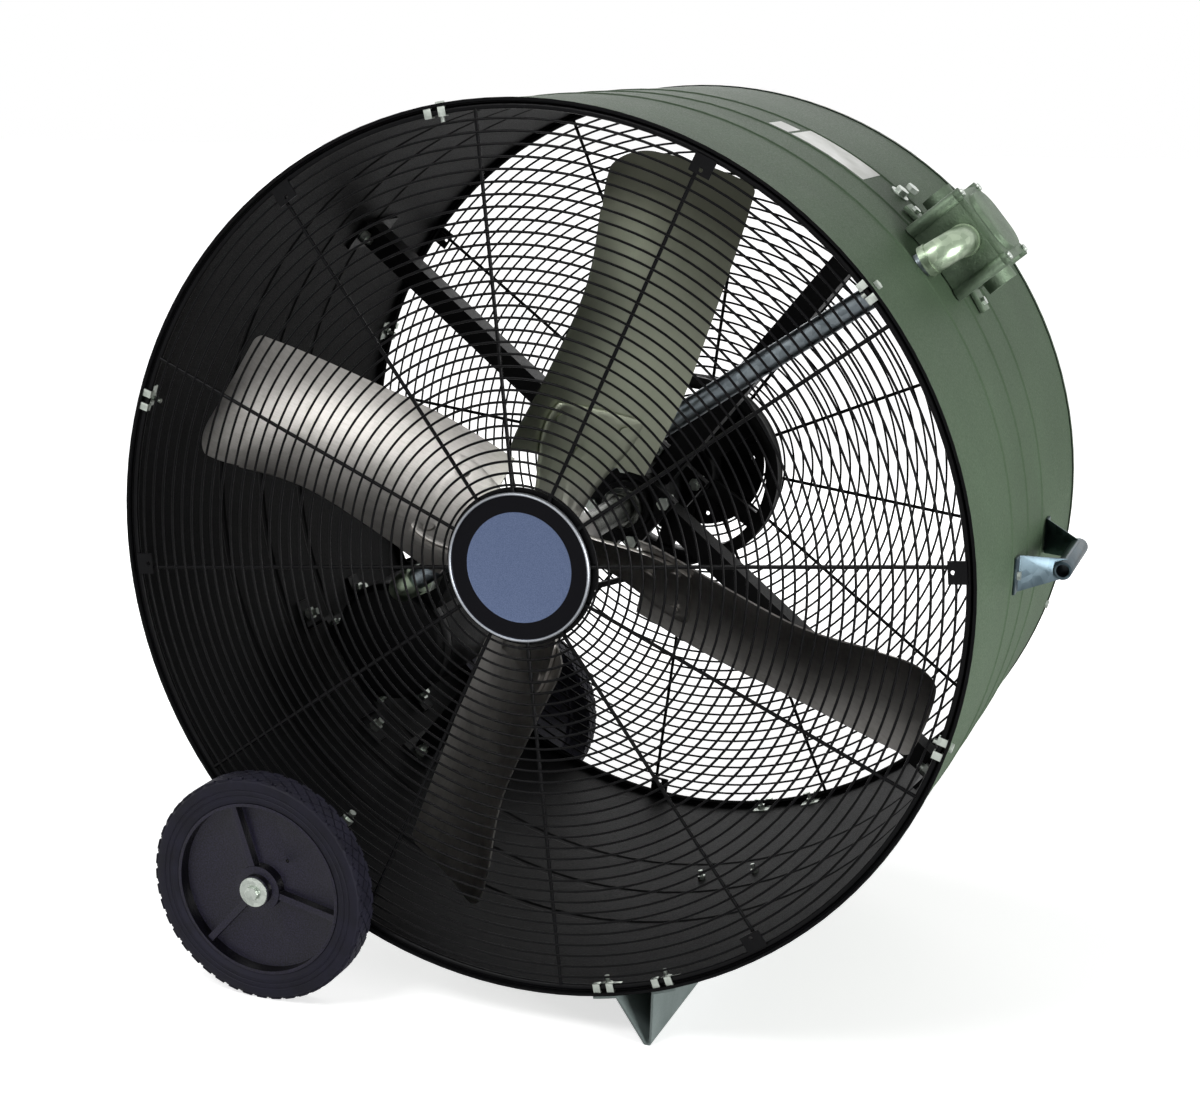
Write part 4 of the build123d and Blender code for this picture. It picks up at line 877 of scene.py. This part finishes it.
# each block of one pitch: its place in pitches round and in mm across, two stretches, and turn
tread_blocks = (
    (0.0, 0.0, 9.9, 7.6, 0.0),
    (0.5, 7.9, 9.9, 7.4, 0.0),
    (0.5, -7.9, 9.9, 7.4, 0.0),
    (0.0, 13.6, 10.8, 4.2, pi / 4),
    (0.0, -13.6, 10.8, 4.2, pi / 4),
)
print("tread blocks:", len(tread_blocks) * tread_pitches)


# %% The bare tyre
def about_wheel(y):
    """A point on the axle."""
    return (wheel_x, y, wheel_z)


def bare_tyre(title, middle):
    """The grooved outline, spun round the axle."""
    deselect()
    outline = [(r, y) for r, y in tyre_outline] + [(r, -y) for r, y in reversed(tyre_outline)]
    bpy.ops.mesh.primitive_circle_add(
        vertices=len(outline), radius=0.01, location=(wheel_x, middle, wheel_z)
    )
    tyre = named(title)
    settle()
    for vertex, (radius, across) in zip(tyre.data.vertices, outline):
        vertex.co = (wheel_x + radius * MM, middle + across * MM, wheel_z)
    edit_all()
    full_turn(tyre_steps, about_wheel(middle))
    weld()
    close_edit()
    return tyre


# %% One tread block
def tread_block(title, middle, pitch, across, long, wide, turn):
    """A tapered block, turned, stretched and set on the tread at its pitch."""
    angle = 2 * pi / tread_pitches * pitch
    deselect()
    bpy.ops.mesh.primitive_circle_add(vertices=4, radius=MM, fill_type="NGON", rotation=(0, 0, turn))
    block = named(title)
    bpy.ops.object.transform_apply(location=False, rotation=True, scale=True)
    block.scale = (long, wide, 1)
    bpy.ops.object.transform_apply(location=False, rotation=False, scale=True)
    edit_all()
    bpy.ops.mesh.extrude_region_move(TRANSFORM_OT_translate={"value": (0, 0, tread_height)})
    bpy.ops.transform.resize(
        value=(block_taper, block_taper, 1), center_override=(0, 0, tread_height)
    )
    close_edit()
    block.location = (
        wheel_x + tread_base * sin(angle), middle + across * MM, wheel_z + tread_base * cos(angle)
    )
    block.rotation_euler = (0, angle, 0)
    settle()


# %% The two treaded tyres
def treaded_tyre(title, node, body):
    """A grooved solid tyre with raised tread blocks, in place of the plain one."""
    low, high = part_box(node)
    middle = (low.y + high.y) / 2
    tyre = bare_tyre(title, middle)
    for index, block in enumerate(tread_blocks):
        tread_block(f"{title}_block_{index}", middle, *block)
    select_named(title + "_block")
    join_into(bpy.data.objects[title + "_block_0"])
    edit_all()
    full_turn(tread_pitches, about_wheel(middle), copies=True)
    weld()
    close_edit()
    join_into(tyre)
    face_outwards(tyre_smooth)
    skin_with(tyre, tyre_rubber)
    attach(tyre, body)
    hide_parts(node)
    print(title, "faces:", len(tyre.data.polygons))


treaded_tyre("treaded_tyre_front", "tyre_front", "wheel_front")
treaded_tyre("treaded_tyre_rear", "tyre_rear", "wheel_rear")

# %% [markdown]
# ## Softened edges
# A casting, a moulding or a pressing has no knife edges, and it is the thin bright line along
# a rounded edge that tells the eye so. The edges could be rounded by the finish alone, but an
# exported mesh would lose that. So the loaded parts are copied, their triangles are merged
# back to flat faces, and a narrow bevel rounds each sharp edge of the copy.

# %% Widths of the rounded edges, in millimetres
softened = {
    "junction_box": 1.6, "box_cover": 1.6, "rim_front": 1.0, "rim_rear": 1.0, "leg": 0.5,
    "terminal_box": 1.5, "motor_bell_front": 2.0, "motor_bell_rear": 2.0, "side_bracket": 0.6,
    "sheave": 0.8, "gland_nut": 0.8, "bearing_front": 1.2, "bearing_rear": 1.2,
    "guard_clips": 0.35, "spider": 0.8, "axle_washers": 0.4, "hub_bolts": 0.5,
    "cover_screws": 0.5, "medallion": 0.5, "shaft_collars": 0.6,
}
copy_weld = 0.000005
flat_angle = 0.6
sharp_angle = 34
soft_smooth = 38
bodies = frame["record"]["behaviour"]["bodies"]
body_of = {node: body for body, held in bodies.items() for node in held}
print("parts to soften:", len(softened))


# %% Rounded copies of cast, moulded and pressed parts
def soften(node, width):
    """A copy of a node with its sharp edges rounded, in the node's place."""
    copy = bpy.data.objects.new(node + "_soft", nodes[node].data.copy())
    copy.data.name = node + "_soft"
    bpy.context.scene.collection.objects.link(copy)
    deselect()
    copy.select_set(True)
    bpy.context.view_layer.objects.active = copy
    edit_all()
    bpy.ops.mesh.customdata_custom_splitnormals_clear()
    bpy.ops.mesh.remove_doubles(threshold=copy_weld)
    bpy.ops.mesh.dissolve_limited(angle_limit=radians(flat_angle))
    close_edit()
    bevel = copy.modifiers.new("round", "BEVEL")
    bevel.width = width * MM
    bevel.segments = 2
    bevel.limit_method = "ANGLE"
    bevel.angle_limit = radians(sharp_angle)
    bevel.use_clamp_overlap = True
    bpy.ops.object.modifier_apply(modifier="round")
    bpy.ops.object.shade_smooth_by_angle(angle=radians(soft_smooth))
    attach(copy, body_of[node])
    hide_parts(node)
    return len(copy.data.polygons)


faces = {node: soften(node, width) for node, width in softened.items()}
print("softened:", faces)

# %% [markdown]
# ## Stickers
# Two plain vinyl stickers lie on the drum's shoulder between the beads. A flat sheet could be
# wrapped on the drum, but a line spun a few degrees about the fan's axis already follows the
# sheet exactly, and a thin wall gives it the thickness of vinyl.

# %% Vinyl
vinyl_dark, vinyl_light = (0.50, 0.51, 0.47), (0.62, 0.63, 0.59)
vinyl, net, skin, place = start_finish("vinyl")
cloudy = cloud(net, place, 30.0, 5.0)
lines = cloud(net, stretched(net, place, (25, 25, 25)), 1.0, 6.0)
rough = level(net, lines, 0.3, 0.7, 0.32, 0.5)
coat_with(net, skin, shades(net, cloudy, vinyl_dark, vinyl_light), rough, (cloudy, 0.0003))

# %% The two stickers
sticker_radius = 0.5532
sticker_wall = 0.0002
sticker_steps = 14
sticker_smooth = 30


def sticker(title, start, end, front, back):
    """A curved sheet between two angles, in degrees, and between two depths."""
    deselect()
    middle = front_y + (front + back) / 2
    half_depth = (back - front) / 2
    bpy.ops.mesh.primitive_plane_add(
        size=back - front, location=(axis_x + sticker_radius, middle, axis_z)
    )
    piece = named(title)
    settle()
    bpy.ops.object.mode_set(mode="EDIT")
    bpy.ops.mesh.select_all(action="DESELECT")
    close_edit()
    for vertex in piece.data.vertices:
        vertex.select = vertex.co.x > axis_x + sticker_radius
    bpy.ops.object.mode_set(mode="EDIT")
    bpy.ops.mesh.delete(type="VERT")
    bpy.ops.mesh.select_all(action="SELECT")
    bpy.ops.transform.translate(value=(half_depth, 0, 0))
    bpy.ops.transform.rotate(value=radians(start), orient_axis="Y", center_override=about_drum(middle))
    bpy.ops.mesh.spin(
        steps=sticker_steps, angle=radians(end - start), center=about_drum(middle), axis=(0, 1, 0)
    )
    close_edit()
    wall = piece.modifiers.new("wall", "SOLIDIFY")
    wall.thickness = sticker_wall
    wall.offset = 0
    bpy.ops.object.modifier_apply(modifier="wall")
    face_outwards(sticker_smooth)
    skin_with(piece, vinyl)
    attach(piece, "root")
    print(title, "from", [round(v, 3) for v in piece.bound_box[0]])


sticker("wide_sticker", 54.0, 65.3, 0.342, 0.433)
sticker("small_sticker", 65.8, 68.7, 0.344, 0.400)
